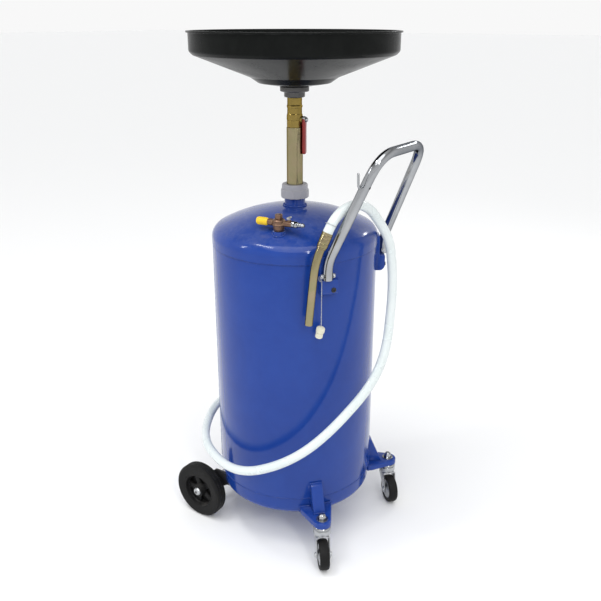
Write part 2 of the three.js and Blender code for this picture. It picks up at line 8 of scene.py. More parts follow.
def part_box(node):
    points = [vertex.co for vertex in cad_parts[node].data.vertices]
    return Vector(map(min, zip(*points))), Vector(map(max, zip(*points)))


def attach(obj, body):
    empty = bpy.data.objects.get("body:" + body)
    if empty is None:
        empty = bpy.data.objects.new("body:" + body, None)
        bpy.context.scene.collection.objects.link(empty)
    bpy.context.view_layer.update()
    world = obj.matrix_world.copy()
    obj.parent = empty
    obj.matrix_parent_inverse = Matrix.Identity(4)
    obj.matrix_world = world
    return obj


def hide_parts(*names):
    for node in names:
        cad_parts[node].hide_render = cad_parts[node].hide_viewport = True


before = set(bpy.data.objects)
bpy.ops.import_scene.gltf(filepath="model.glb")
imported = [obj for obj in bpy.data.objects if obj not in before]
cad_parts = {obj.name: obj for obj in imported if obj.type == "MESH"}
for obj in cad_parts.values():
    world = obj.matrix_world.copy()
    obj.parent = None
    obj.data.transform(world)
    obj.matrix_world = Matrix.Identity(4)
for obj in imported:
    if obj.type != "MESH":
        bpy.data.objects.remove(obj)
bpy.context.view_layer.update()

# Lengths in the dictionaries are millimetres, measured from the tank's axis and the floor.
mm = 0.001


def middle(node):
    low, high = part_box(node)
    return (low + high) / 2


axisX = middle("tank_shell").x


def fromAxis(x, y, z):
    return Vector((axisX + x * mm, y * mm, z * mm))


def addObject(name, data):
    thing = bpy.data.objects.new(name, data)
    bpy.context.scene.collection.objects.link(thing)
    return thing


# Camera and light.

view = {
    "x": 1008.7, "y": -1440.6, "z": 1271.2,
    "turn": 34.56,  # degrees about Z
    "tilt": 69.14,  # degrees up from straight down
    "lens": 44.49,
}


def makeCamera():
    data = bpy.data.cameras.new("camera")
    data.sensor_width = 36
    data.lens = view["lens"]
    camera = addObject("camera", data)
    camera.location = fromAxis(view["x"], view["y"], view["z"])
    camera.rotation_euler = (math.radians(view["tilt"]), 0, math.radians(view["turn"]))
    bpy.context.scene.camera = camera


studio = {
    "softboxes": [
        # name, place in metres, width, height, power, colour
        ("keyBox", (2.2, -1.6, 2.4), 0.22, 0.9, 16, (1, 0.99, 0.97)),
        ("fillBox", (-1.9, -2.1, 2.3), 0.2, 0.8, 10, (0.96, 0.98, 1)),
        ("overhead", (-0.6, -0.9, 2.7), 0.9, 0.16, 12, (1, 1, 1)),
        ("backBox", (0.4, 2.6, 2.2), 0.9, 0.2, 10, (1, 1, 1)),
    ],
    "target": (0, 0, 0.65),
    "sunTurn": (24, 14, 0), "sunPower": 1.42, "sunSpread": 60,  # degrees, so that its shadow stays soft
    "floor": (0.88, 0.885, 0.89),
    "sky": [  # how high, how bright
        (0.0, 0.94), (0.2, 0.94), (0.45, 0.72), (0.7, 0.34), (0.95, 0.8),
    ],
}


def makeStudio():
    for name, place, width, height, power, colour in studio["softboxes"]:
        data = bpy.data.lights.new(name, "AREA")
        data.shape = "RECTANGLE"
        data.size = width
        data.size_y = height
        data.energy = power
        data.color = colour
        lamp = addObject(name, data)
        lamp.location = place
        aim = Vector(studio["target"]) - lamp.location
        lamp.rotation_euler = aim.to_track_quat("-Z", "Y").to_euler()
    sun = bpy.data.lights.new("broadLight", "SUN")
    sun.energy = studio["sunPower"]
    sun.angle = math.radians(studio["sunSpread"])
    lamp = addObject("broadLight", sun)
    lamp.rotation_euler = [math.radians(a) for a in studio["sunTurn"]]
    world = bpy.data.worlds.new("studio")
    bpy.context.scene.world = world
    world.use_nodes = True
    tree = world.node_tree
    back = tree.nodes["Background"]
    place = tree.nodes.new("ShaderNodeTexCoord")
    split = tree.nodes.new("ShaderNodeSeparateXYZ")
    ramp = tree.nodes.new("ShaderNodeValToRGB")
    stops = ramp.color_ramp.elements
    stops[1].position = 1.0
    for height, bright in studio["sky"]:
        stop = stops[0] if height == 0 else stops.new(height)
        stop.color = (bright, bright, bright, 1)
    tree.links.new(place.outputs["Generated"], split.inputs[0])
    tree.links.new(split.outputs["Z"], ramp.inputs[0])
    tree.links.new(ramp.outputs[0], back.inputs["Color"])
    bpy.context.scene.view_settings.view_transform = "Standard"


def makeFloor():
    mesh = bpy.data.meshes.new("floor")
    reach = 60
    corners = [(-reach, -reach, 0), (reach, -reach, 0), (reach, reach, 0), (-reach, reach, 0)]
    mesh.from_pydata(corners, [], [(0, 1, 2, 3)])
    floor = addObject("floor", mesh)
    floor.location.z = -0.0004
    pale = bpy.data.materials.new("paleFloor")
    pale.use_nodes = True
    shader = pale.node_tree.nodes["Principled BSDF"]
    shader.inputs["Base Color"].default_value = (*studio["floor"], 1)
    shader.inputs["Roughness"].default_value = 0.7
    shader.inputs["Specular IOR Level"].default_value = 0.1
    mesh.materials.append(pale)


makeCamera()
makeStudio()
makeFloor()
print("camera, lights and floor are in place")

# Surface effects shared by the finishes.


def newGroup(name, inputs, outputs):
    tree = bpy.data.node_groups.new(name, "ShaderNodeTree")
    for label, kind, value in inputs:
        socket = tree.interface.new_socket(label, in_out="INPUT", socket_type=kind)
        if value is not None:
            socket.default_value = value
    for label, kind in outputs:
        tree.interface.new_socket(label, in_out="OUTPUT", socket_type=kind)
    return tree, tree.nodes.new("NodeGroupInput"), tree.nodes.new("NodeGroupOutput")


def put(tree, kind, sets=None, feeds=None):
    node = tree.nodes.new(kind)
    for key, value in (sets or {}).items():
        setattr(node, key, value)
    for key, value in (feeds or {}).items():
        if isinstance(value, bpy.types.NodeSocket):
            tree.links.new(value, node.inputs[key])
        else:
            node.inputs[key].default_value = value
    return node


def sums(tree, operation, a, b=None, clamp=False):
    node = put(tree, "ShaderNodeMath", {"operation": operation, "use_clamp": clamp}, {0: a})
    if b is not None:
        if isinstance(b, bpy.types.NodeSocket):
            tree.links.new(b, node.inputs[1])
        else:
            node.inputs[1].default_value = b
    return node.outputs[0]


def remap(tree, value, low, high, toLow=0.0, toHigh=1.0):
    feeds = {"Value": value, "From Min": low, "From Max": high, "To Min": toLow, "To Max": toHigh}
    return put(tree, "ShaderNodeMapRange", {"interpolation_type": "SMOOTHSTEP"}, feeds).outputs[0]


def edgeWearGroup():
    # Rubbed patches along edges: the rounded normal differs from the true one there.
    tree, given, out = newGroup("edgeWear", [
        ("Reach", "NodeSocketFloat", 0.002),
        ("Amount", "NodeSocketFloat", 0.5),
        ("Patch Scale", "NodeSocketFloat", 60.0),
    ], [("Mask", "NodeSocketFloat")])
    place = put(tree, "ShaderNodeTexCoord")
    bevel = put(tree, "ShaderNodeBevel", {"samples": 4}, {"Radius": given.outputs["Reach"]})
    plain = put(tree, "ShaderNodeNewGeometry")
    dot = put(tree, "ShaderNodeVectorMath", {"operation": "DOT_PRODUCT"},
              {0: bevel.outputs[0], 1: plain.outputs["Normal"]})
    edge = remap(tree, dot.outputs["Value"], 0.995, 0.90)
    patch = put(tree, "ShaderNodeTexNoise", None, {
        "Vector": place.outputs["Object"], "Scale": given.outputs["Patch Scale"],
        "Detail": 6.0, "Roughness": 0.62,
    })
    broken = remap(tree, patch.outputs[0], 0.46, 0.60)
    mask = sums(tree, "MULTIPLY", edge, broken)
    tree.links.new(sums(tree, "MULTIPLY", mask, given.outputs["Amount"], True), out.inputs[0])
    return tree


def dustGroup():
    # Thin dust that lies on what faces up, in soft drifts.
    tree, given, out = newGroup("dust", [
        ("Amount", "NodeSocketFloat", 0.2),
        ("Scale", "NodeSocketFloat", 14.0),
    ], [("Mask", "NodeSocketFloat")])
    place = put(tree, "ShaderNodeTexCoord")
    plain = put(tree, "ShaderNodeNewGeometry")
    split = put(tree, "ShaderNodeSeparateXYZ", None, {0: plain.outputs["Normal"]})
    upward = remap(tree, split.outputs["Z"], 0.25, 0.95)
    drift = put(tree, "ShaderNodeTexNoise", None, {
        "Vector": place.outputs["Object"], "Scale": given.outputs["Scale"],
        "Detail": 8.0, "Roughness": 0.7,
    })
    lying = sums(tree, "MULTIPLY", upward, remap(tree, drift.outputs[0], 0.42, 0.66))
    tree.links.new(sums(tree, "MULTIPLY", lying, given.outputs["Amount"], True), out.inputs[0])
    return tree


def smudgeGroup():
    # Roughness that wanders as wiped and handled surfaces do.
    tree, given, out = newGroup("smudge", [
        ("Scale", "NodeSocketFloat", 9.0),
        ("Smooth", "NodeSocketFloat", 0.2),
        ("Rough", "NodeSocketFloat", 0.35),
    ], [("Roughness", "NodeSocketFloat"), ("Value", "NodeSocketFloat")])
    place = put(tree, "ShaderNodeTexCoord")
    broad = put(tree, "ShaderNodeTexNoise", None, {
        "Vector": place.outputs["Object"], "Scale": given.outputs["Scale"],
        "Detail": 5.0, "Roughness": 0.6, "Distortion": 0.8,
    })
    fine = put(tree, "ShaderNodeTexNoise", None, {
        "Vector": place.outputs["Object"],
        "Scale": sums(tree, "MULTIPLY", given.outputs["Scale"], 11.0), "Detail": 3.0,
    })
    mixed = sums(tree, "ADD", sums(tree, "MULTIPLY", broad.outputs[0], 0.86),
                 sums(tree, "MULTIPLY", fine.outputs[0], 0.14))
    value = remap(tree, mixed, 0.30, 0.70)
    span = sums(tree, "SUBTRACT", given.outputs["Rough"], given.outputs["Smooth"])
    rough = sums(tree, "ADD", sums(tree, "MULTIPLY", value, span), given.outputs["Smooth"])
    tree.links.new(rough, out.inputs[0])
    tree.links.new(value, out.inputs[1])
    return tree


def grainGroup():
    # Height for orange peel, moulded grain or a cast skin, by its scale and how lumpy it is.
    tree, given, out = newGroup("grain", [
        ("Scale", "NodeSocketFloat", 400.0),
        ("Lumps", "NodeSocketFloat", 0.5),
        ("Stretch", "NodeSocketVector", (1, 1, 1)),
    ], [("Height", "NodeSocketFloat")])
    place = put(tree, "ShaderNodeTexCoord")
    mapped = put(tree, "ShaderNodeMapping", None, {
        "Vector": place.outputs["Object"], "Scale": given.outputs["Stretch"],
    })
    fine = put(tree, "ShaderNodeTexNoise", None, {
        "Vector": mapped.outputs[0], "Scale": given.outputs["Scale"], "Detail": 3.0,
    })
    cells = put(tree, "ShaderNodeTexVoronoi", {"feature": "SMOOTH_F1"}, {
        "Vector": mapped.outputs[0],
        "Scale": sums(tree, "MULTIPLY", given.outputs["Scale"], 0.6),
    })
    lumpy = sums(tree, "MULTIPLY", cells.outputs["Distance"], given.outputs["Lumps"])
    tree.links.new(sums(tree, "ADD", fine.outputs[0], lumpy), out.inputs[0])
    return tree


edgeWear = edgeWearGroup()
dust = dustGroup()
smudge = smudgeGroup()
grain = grainGroup()

# Finishes, one for each slot.

finishes = {
    "blue_paint": {
        "colour": (0.008, 0.040, 0.245), "second": (0.010, 0.047, 0.272), "smooth": 0.16, "rough": 0.26,
        "specular": 0.14, "coat": 0.42, "grainScale": 330, "grainHeight": 0.012, "lumps": 0.35,
        "wear": 0.5, "wearReach": 0.0016, "wearColour": (0.012, 0.02, 0.05), "wearMetal": 0,
        "dust": 0.10, "dustColour": (0.35, 0.37, 0.42),
    },
    "black_gloss": {
        "colour": (0.006, 0.0066, 0.0064), "second": (0.010, 0.011, 0.0105), "smooth": 0.16, "rough": 0.30,
        "specular": 0.2, "ior": 1.22, "grainScale": 260, "grainHeight": 0.014, "lumps": 0.4,
        "wear": 0.35, "wearReach": 0.0014, "wearColour": (0.16, 0.16, 0.165), "wearMetal": 1,
        "dust": 0.05, "dustColour": (0.16, 0.155, 0.15),
    },
    "black_paint": {
        "colour": (0.012, 0.012, 0.014), "second": (0.02, 0.02, 0.022), "smooth": 0.38, "rough": 0.56,
        "grainScale": 420, "grainHeight": 0.02, "lumps": 0.6,
        "wear": 0.6, "wearReach": 0.0015, "wearColour": (0.2, 0.2, 0.21), "wearMetal": 1,
        "dust": 0.3, "dustColour": (0.25, 0.24, 0.22),
    },
    "chrome": {
        "colour": (0.43, 0.44, 0.455), "second": (0.34, 0.35, 0.365), "metallic": 1, "smooth": 0.05,
        "rough": 0.13, "edge": (0.25, 0.26, 0.28), "grainScale": 90, "grainHeight": 0.002, "lumps": 0.2,
    },
    "bright_zinc": {
        "colour": (0.40, 0.415, 0.43), "second": (0.52, 0.53, 0.545), "metallic": 1, "smooth": 0.20,
        "rough": 0.42, "grainScale": 500, "grainHeight": 0.008, "lumps": 0.7,
        "wear": 0.5, "wearReach": 0.0012, "wearColour": (0.75, 0.75, 0.76), "wearMetal": 1,
    },
    "yellow_zinc": {
        "colour": (0.27, 0.235, 0.13), "second": (0.34, 0.29, 0.18), "metallic": 1, "smooth": 0.13,
        "rough": 0.26, "grainScale": 260, "grainHeight": 0.002, "lumps": 0.2, "stretch": (1, 1, 0.03),
        "rainbow": 0.22, "edge": (0.22, 0.18, 0.10),
    },
    "brass": {
        "colour": (0.30, 0.215, 0.06), "second": (0.22, 0.16, 0.05), "metallic": 1, "smooth": 0.22,
        "rough": 0.42, "edge": (0.3, 0.24, 0.12), "grainScale": 650, "grainHeight": 0.012, "lumps": 0.6,
        "wear": 0.7, "wearReach": 0.0014, "wearColour": (0.66, 0.5, 0.22), "wearMetal": 1,
    },
    "bronze": {
        "colour": (0.27, 0.165, 0.115), "second": (0.19, 0.115, 0.08), "metallic": 1, "smooth": 0.28,
        "rough": 0.5, "grainScale": 700, "grainHeight": 0.02, "lumps": 0.8,
        "wear": 0.8, "wearReach": 0.0014, "wearColour": (0.66, 0.47, 0.28), "wearMetal": 1,
    },
    "cast_grey": {
        "colour": (0.31, 0.31, 0.345), "second": (0.38, 0.38, 0.41), "smooth": 0.34, "rough": 0.55,
        "grainScale": 520, "grainHeight": 0.05, "lumps": 1.0,
        "wear": 0.7, "wearReach": 0.0018, "wearColour": (0.5, 0.5, 0.52), "wearMetal": 1,
        "dust": 0.15, "dustColour": (0.4, 0.4, 0.38),
    },
    "dark_steel": {
        "colour": (0.075, 0.073, 0.073), "second": (0.115, 0.112, 0.11), "metallic": 0.7, "smooth": 0.3,
        "rough": 0.5, "grainScale": 600, "grainHeight": 0.02, "lumps": 0.8,
        "wear": 0.8, "wearReach": 0.0015, "wearColour": (0.4, 0.4, 0.41), "wearMetal": 1,
    },
    "hub_steel": {
        "colour": (0.36, 0.37, 0.385), "second": (0.47, 0.48, 0.49), "metallic": 1, "smooth": 0.26,
        "rough": 0.46, "grainScale": 500, "grainHeight": 0.012, "lumps": 0.8,
        "wear": 0.4, "wearReach": 0.0012, "wearColour": (0.7, 0.7, 0.71), "wearMetal": 1,
    },
    "tyre_rubber": {
        "colour": (0.008, 0.008, 0.0085), "second": (0.014, 0.014, 0.0138), "smooth": 0.44, "rough": 0.66,
        "specular": 0.14,
        "grainScale": 900, "grainHeight": 0.05, "lumps": 0.7,
        "wear": 0.7, "wearReach": 0.0016, "wearColour": (0.06, 0.058, 0.055), "wearMetal": 0,
        "dust": 0.1, "dustColour": (0.08, 0.075, 0.07),
    },
    "black_plastic": {
        "colour": (0.007, 0.007, 0.0075), "second": (0.011, 0.011, 0.0115), "smooth": 0.30, "rough": 0.46,
        "specular": 0.14,
        "grainScale": 1300, "grainHeight": 0.035, "lumps": 1.0,
        "wear": 0.5, "wearReach": 0.0012, "wearColour": (0.06, 0.06, 0.062), "wearMetal": 0,
        "dust": 0.2, "dustColour": (0.2, 0.19, 0.18),
    },
    "red_vinyl": {
        "colour": (0.30, 0.012, 0.010), "second": (0.22, 0.010, 0.009), "smooth": 0.3, "rough": 0.46,
        "coat": 0.2, "grainScale": 800, "grainHeight": 0.02, "lumps": 0.7,
        "wear": 0.5, "wearReach": 0.0012, "wearColour": (0.12, 0.008, 0.007), "wearMetal": 0,
    },
    "yellow_plastic": {
        "colour": (0.88, 0.60, 0.012), "second": (0.80, 0.53, 0.012), "smooth": 0.28, "rough": 0.42,
        "coat": 0.2, "grainScale": 900, "grainHeight": 0.015, "lumps": 0.6,
        "wear": 0.4, "wearReach": 0.0012, "wearColour": (0.5, 0.36, 0.04), "wearMetal": 0,
    },
    "white_nylon": {
        "colour": (0.74, 0.73, 0.60), "second": (0.66, 0.64, 0.50), "smooth": 0.34, "rough": 0.52,
        "grainScale": 700, "grainHeight": 0.02, "lumps": 0.6, "subsurface": 0.15,
        "wear": 0.5, "wearReach": 0.0013, "wearColour": (0.42, 0.4, 0.31), "wearMetal": 0,
    },
    "clear_hose": {
        "colour": (0.79, 0.845, 0.85), "second": (0.72, 0.79, 0.79), "smooth": 0.16, "rough": 0.34,
        "coat": 0.4, "grainScale": 60, "grainHeight": 0.003, "lumps": 0.3, "transmission": 0.12,
    },
}


def makeFinish(name, look):
    paint = bpy.data.materials.new(name)
    paint.use_nodes = True
    tree = paint.node_tree
    shader = tree.nodes["Principled BSDF"]
    rough = put(tree, "ShaderNodeGroup", {"node_tree": smudge}, {
        "Scale": look.get("smudgeScale", 9.0), "Smooth": look["smooth"], "Rough": look["rough"],
    })
    mix = put(tree, "ShaderNodeMix", {"data_type": "RGBA"}, {
        0: rough.outputs["Value"], 6: (*look["colour"], 1), 7: (*look["second"], 1),
    })
    colour = mix.outputs[2]
    roughness = rough.outputs["Roughness"]
    if look.get("rainbow"):  # passivated zinc goes from yellow to pink and green in broad bands
        place = put(tree, "ShaderNodeTexCoord")
        bands = put(tree, "ShaderNodeTexNoise", None, {
            "Vector": place.outputs["Object"], "Scale": 22.0, "Detail": 2.0, "Distortion": 1.5,
        })
        ramp = put(tree, "ShaderNodeValToRGB", None, {0: bands.outputs[0]})
        stops = ramp.color_ramp.elements
        stops[0].position, stops[0].color = 0.36, (0.27, 0.29, 0.13, 1)
        stops[1].position, stops[1].color = 0.64, (0.40, 0.28, 0.20, 1)
        stops.new(0.5).color = (0.36, 0.31, 0.16, 1)
        colour = put(tree, "ShaderNodeMix", {"data_type": "RGBA"}, {
            0: look["rainbow"], 6: colour, 7: ramp.outputs[0],
        }).outputs[2]
    if look.get("dust"):
        lying = put(tree, "ShaderNodeGroup", {"node_tree": dust}, {"Amount": look["dust"]})
        colour = put(tree, "ShaderNodeMix", {"data_type": "RGBA"}, {
            0: lying.outputs[0], 6: colour, 7: (*look["dustColour"], 1),
        }).outputs[2]
        roughness = sums(tree, "ADD", roughness, sums(tree, "MULTIPLY", lying.outputs[0], 0.4), True)
    shader.inputs["Metallic"].default_value = look.get("metallic", 0)
    if look.get("wear"):
        worn = put(tree, "ShaderNodeGroup", {"node_tree": edgeWear}, {
            "Reach": look["wearReach"], "Amount": look["wear"], "Patch Scale": 90.0,
        })
        colour = put(tree, "ShaderNodeMix", {"data_type": "RGBA"}, {
            0: worn.outputs[0], 6: colour, 7: (*look["wearColour"], 1),
        }).outputs[2]
        if look["wearMetal"] and look.get("metallic", 0) < 1:
            metal = sums(tree, "MAXIMUM", worn.outputs[0], look.get("metallic", 0.0))
            tree.links.new(metal, shader.inputs["Metallic"])
    skin = put(tree, "ShaderNodeGroup", {"node_tree": grain}, {
        "Scale": float(look["grainScale"]), "Lumps": look["lumps"],
        "Stretch": look.get("stretch", (1, 1, 1)),
    })
    bump = put(tree, "ShaderNodeBump", None, {
        "Height": skin.outputs[0], "Strength": 1.0, "Distance": look["grainHeight"] * mm,
    })
    tree.links.new(colour, shader.inputs["Base Color"])
    tree.links.new(roughness, shader.inputs["Roughness"])
    tree.links.new(bump.outputs[0], shader.inputs["Normal"])
    shader.inputs["Specular IOR Level"].default_value = look.get("specular", 0.5)
    if look.get("edge"):
        shader.inputs["Specular Tint"].default_value = (*look["edge"], 1)
    shader.inputs["Coat Weight"].default_value = look.get("coat", 0)
    shader.inputs["Coat Roughness"].default_value = 0.06
    shader.inputs["Transmission Weight"].default_value = look.get("transmission", 0)
    shader.inputs["IOR"].default_value = look.get("ior", 1.45)
    if look.get("subsurface"):
        shader.inputs["Subsurface Weight"].default_value = look["subsurface"]
        shader.inputs["Subsurface Radius"].default_value = (0.003, 0.003, 0.002)
    paint.diffuse_color = (*look["colour"], 1)
    return paint


materials = {name: makeFinish(name, look) for name, look in finishes.items()}
print("finishes are ready")

# Shape tools.


def rounded(points, radius=0.0, closed=True, steps=4):
    # Rounds the corners of a flat outline. A third number on a point is its own radius.
    result = []
    count = len(points)
    for i, given in enumerate(points):
        own = given[2] if len(given) > 2 else radius
        here = Vector(given[:2])
        if own <= 0 or (not closed and i in (0, count - 1)):
            result.append((here.x, here.y))
            continue
        back = Vector(points[i - 1][:2]) - here
        onward = Vector(points[(i + 1) % count][:2]) - here
        if back.length < 1e-6 or onward.length < 1e-6:
            result.append((here.x, here.y))
            continue
        half = back.angle(onward) / 2
        if half > math.radians(88):
            result.append((here.x, here.y))
            continue
        reach = min(own / math.tan(half), back.length * 0.48, onward.length * 0.48)
        start, end = here + back.normalized() * reach, here + onward.normalized() * reach
        for k in range(steps + 1):
            t = k / steps
            spot = start * (1 - t) ** 2 + here * 2 * t * (1 - t) + end * t * t
            result.append((spot.x, spot.y))
    return result


def arcOf(centre, radius, start, end, steps):
    spots = []
    for i in range(steps + 1):
        angle = math.radians(start + (end - start) * i / steps)
        spots.append((centre[0] + radius * math.cos(angle), centre[1] + radius * math.sin(angle)))
    return spots


def lathe(profile, steps=96, flats=None):
    # Turns an outline of (radius, height) about Z. Outlines that start on the axis end there too.
    # flats is (how many, from height, to height, flat radius): there the section has flat sides.
    shape = bmesh.new()
    rings = []
    for radius, height in profile:
        if abs(radius) < 1e-6:
            rings.append([shape.verts.new((0, 0, height))])
            continue
        ring = []
        for i in range(steps):
            angle = 2 * math.pi * i / steps
            r = radius
            if flats and flats[1] <= height <= flats[2]:
                sector = 2 * math.pi / flats[0]
                off = (angle % sector) - sector / 2
                r = min(radius, flats[3] / math.cos(off))
            ring.append(shape.verts.new((r * math.cos(angle), r * math.sin(angle), height)))
        rings.append(ring)
    onAxis = len(rings[0]) == 1
    pairs = list(zip(rings, rings[1:])) + ([] if onAxis else [(rings[-1], rings[0])])
    for low, high in pairs:
        for i in range(steps):
            j = (i + 1) % steps
            corners = [low[i % len(low)], low[j % len(low)], high[j % len(high)], high[i % len(high)]]
            kept = []
            for corner in corners:
                if corner not in kept:
                    kept.append(corner)
            if len(kept) > 2:
                shape.faces.new(kept)
    bmesh.ops.recalc_face_normals(shape, faces=shape.faces)
    return shape


def prism(outline, low, high, bevel=0.0, segments=3):
    # Draws a flat outline of (x, y) out along Z.
    shape = bmesh.new()
    floor = [shape.verts.new((x, y, low)) for x, y in outline]
    roof = [shape.verts.new((x, y, high)) for x, y in outline]
    count = len(outline)
    shape.faces.new(list(reversed(floor)))
    shape.faces.new(roof)
    for i in range(count):
        j = (i + 1) % count
        shape.faces.new((floor[i], floor[j], roof[j], roof[i]))
    bmesh.ops.recalc_face_normals(shape, faces=shape.faces)
    if bevel > 0:
        sharp = [e for e in shape.edges if e.calc_face_angle(0) > math.radians(28)]
        bmesh.ops.bevel(shape, geom=sharp, offset=bevel, segments=segments, profile=0.5,
                        affect="EDGES", clamp_overlap=True)
    return shape


def polygon(acrossFlats, low, high, sides=6, bevel=0.5):
    corner = acrossFlats / 2 / math.cos(math.pi / sides)
    outline = [(corner * math.cos(2 * math.pi * i / sides), corner * math.sin(2 * math.pi * i / sides))
               for i in range(sides)]
    return prism(outline, low, high, bevel)


def sweep(points, radius, sides=24, bore=0.0, dome=False):
    # A rod or tube along points; its frame is carried along without twist.
    spots = [Vector(p) for p in points]
    shape = bmesh.new()
    tangents = []
    for i in range(len(spots)):
        before, after = spots[max(i - 1, 0)], spots[min(i + 1, len(spots) - 1)]
        tangents.append((after - before).normalized())
    side = tangents[0].orthogonal().normalized()
    frames = []
    for i, tangent in enumerate(tangents):
        if i:
            side = (side - tangent * side.dot(tangent)).normalized()
        frames.append((side.copy(), tangent.cross(side)))
    sizes = radius if isinstance(radius, (list, tuple)) else [radius] * len(spots)

    def ringAt(i, size, shift=0.0):
        a, b = frames[i]
        centre = spots[i] + tangents[i] * shift
        return [shape.verts.new(centre + (a * math.cos(2 * math.pi * k / sides)
                                          + b * math.sin(2 * math.pi * k / sides)) * size)
                for k in range(sides)]

    def bridge(low, high):
        for k in range(sides):
            j = (k + 1) % sides
            shape.faces.new((low[k], low[j], high[j], high[k]))

    outer = []
    last = len(spots) - 1
    if dome:
        for k in (3, 2, 1):
            angle = math.radians(90 * k / 3.6)
            outer.append(ringAt(0, sizes[0] * math.cos(angle), -sizes[0] * math.sin(angle)))
    outer += [ringAt(i, sizes[i]) for i in range(len(spots))]
    if dome:
        for k in (1, 2, 3):
            angle = math.radians(90 * k / 3.6)
            outer.append(ringAt(last, sizes[last] * math.cos(angle), sizes[last] * math.sin(angle)))
    for low, high in zip(outer, outer[1:]):
        bridge(low, high)
    if bore > 0:
        inner = [ringAt(i, bore) for i in range(len(spots))]
        for low, high in zip(inner, inner[1:]):
            bridge(high, low)
        bridge(outer[-1], inner[-1])
        bridge(inner[0], outer[0])
    else:
        shape.faces.new(outer[0])
        shape.faces.new(outer[-1])
    bmesh.ops.recalc_face_normals(shape, faces=shape.faces)
    return shape


def bentPath(points, reach, steps=10):
    # Straight runs joined by curves that start "reach" before each corner.
    spots = [Vector(p) for p in points]
    path = [spots[0]]
    for i in range(1, len(spots) - 1):
        before = spots[i] + (spots[i - 1] - spots[i]).normalized() * reach[i - 1]
        after = spots[i] + (spots[i + 1] - spots[i]).normalized() * reach[i - 1]
        for k in range(steps + 1):
            t = k / steps
            path.append(before * (1 - t) ** 2 + spots[i] * 2 * t * (1 - t) + after * t * t)
    path.append(spots[-1])
    return path


def smoothPath(points, spacing):
    # A rounded line through the points, at an even spacing.
    spots = [Vector(p) for p in points]
    fine = []
    for i in range(len(spots) - 1):
        p0 = spots[i - 1] if i else spots[0] * 2 - spots[1]
        p1, p2 = spots[i], spots[i + 1]
        p3 = spots[i + 2] if i + 2 < len(spots) else p2 * 2 - p1
        for k in range(12):
            t = k / 12
            fine.append(0.5 * ((2 * p1) + (p2 - p0) * t + (2 * p0 - 5 * p1 + 4 * p2 - p3) * t * t
                               + (3 * p1 - p0 - 3 * p2 + p3) * t ** 3))
    fine.append(spots[-1])
    return evenly(fine, spacing)


def evenly(points, spacing):
    lengths = [0.0]
    for a, b in zip(points, points[1:]):
        lengths.append(lengths[-1] + (b - a).length)
    count = max(2, round(lengths[-1] / spacing))
    even = []
    at = 0
    for i in range(count + 1):
        want = lengths[-1] * i / count
        while at < len(lengths) - 2 and lengths[at + 1] < want:
            at += 1
        span = lengths[at + 1] - lengths[at] or 1
        even.append(points[at].lerp(points[at + 1], (want - lengths[at]) / span))
    return even


def relax(points, rounds):
    # Evens out the bends of a line, with its ends left where they are.
    spots = list(points)
    for _ in range(rounds):
        eased = [spots[i] * 0.5 + (spots[i - 1] + spots[i + 1]) * 0.25 for i in range(2, len(spots) - 2)]
        spots[2:-2] = eased
    return spots


def facing(origin, direction, up=(0, 0, 1)):
    # A place whose own Z points along a direction, with its X towards "up" where it can be.
    z = Vector(direction).normalized()
    guide = Vector(up)
    if abs(z.dot(guide)) > 0.99:
        guide = Vector((1, 0, 0))
    x = (guide - z * guide.dot(z)).normalized()
    turn = Matrix((x, z.cross(x), z)).transposed().to_4x4()
    return Matrix.Translation(origin) @ turn


def turned(azimuth, x=0.0, y=0.0, z=0.0):
    # A place on the floor plan, turned about Z; x, y and z are millimetres from the tank's axis.
    return Matrix.Translation(fromAxis(x, y, z)) @ Matrix.Rotation(math.radians(azimuth), 4, "Z")


scaleDown = Matrix.Scale(mm, 4)
scaleUp = Matrix.Scale(1 / mm, 4)
sidewards = Matrix.Rotation(math.pi / 2, 4, "X")  # lays an (x, z) outline upright
acrossX = Matrix(((0, 0, 1, 0), (1, 0, 0, 0), (0, 1, 0, 0), (0, 0, 0, 1)))  # a (y, z) outline along X


def laid(shape, turn):
    bmesh.ops.transform(shape, matrix=turn, verts=shape.verts)
    return shape


def showSmooth(mesh, sharpness):
    shape = bmesh.new()
    shape.from_mesh(mesh)
    limit = math.radians(sharpness)
    for face in shape.faces:
        face.smooth = True
    for edge in shape.edges:
        edge.smooth = edge.calc_face_angle(0) < limit if len(edge.link_faces) == 2 else False
    shape.to_mesh(mesh)
    shape.free()


def piece(name, shapes, slot, body="chassis", nodes=(), sharpness=32):
    # Joins (shape, place) pairs into one finished piece that rides on a body.
    mesh = bpy.data.meshes.new(name)
    whole = bmesh.new()
    for shape, place in shapes:
        bmesh.ops.transform(shape, matrix=place @ scaleDown, verts=shape.verts)
        part = bpy.data.meshes.new("part")
        shape.to_mesh(part)
        shape.free()
        whole.from_mesh(part)
        bpy.data.meshes.remove(part)
    whole.to_mesh(mesh)
    whole.free()
    showSmooth(mesh, sharpness)
    mesh.materials.append(materials[slot])
    return settle(addObject(name, mesh), body, nodes)


def settle(thing, body="chassis", nodes=()):
    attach(thing, body)
    if nodes:
        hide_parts(*([nodes] if isinstance(nodes, str) else nodes))
    return thing


def atNode(node):
    # The middle of a node's foot, for pieces turned about Z.
    low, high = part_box(node)
    return Matrix.Translation(((low.x + high.x) / 2, (low.y + high.y) / 2, low.z))


# Repeated things, made with Geometry Nodes.


def newTree(name, inputs):
    tree = bpy.data.node_groups.new(name, "GeometryNodeTree")
    tree.interface.new_socket("Geometry", in_out="INPUT", socket_type="NodeSocketGeometry")
    for label, kind, value in inputs:
        socket = tree.interface.new_socket(label, in_out="INPUT", socket_type=kind)
        if value is not None:
            socket.default_value = value
    tree.interface.new_socket("Geometry", in_out="OUTPUT", socket_type="NodeSocketGeometry")
    return tree, tree.nodes.new("NodeGroupInput"), tree.nodes.new("NodeGroupOutput")


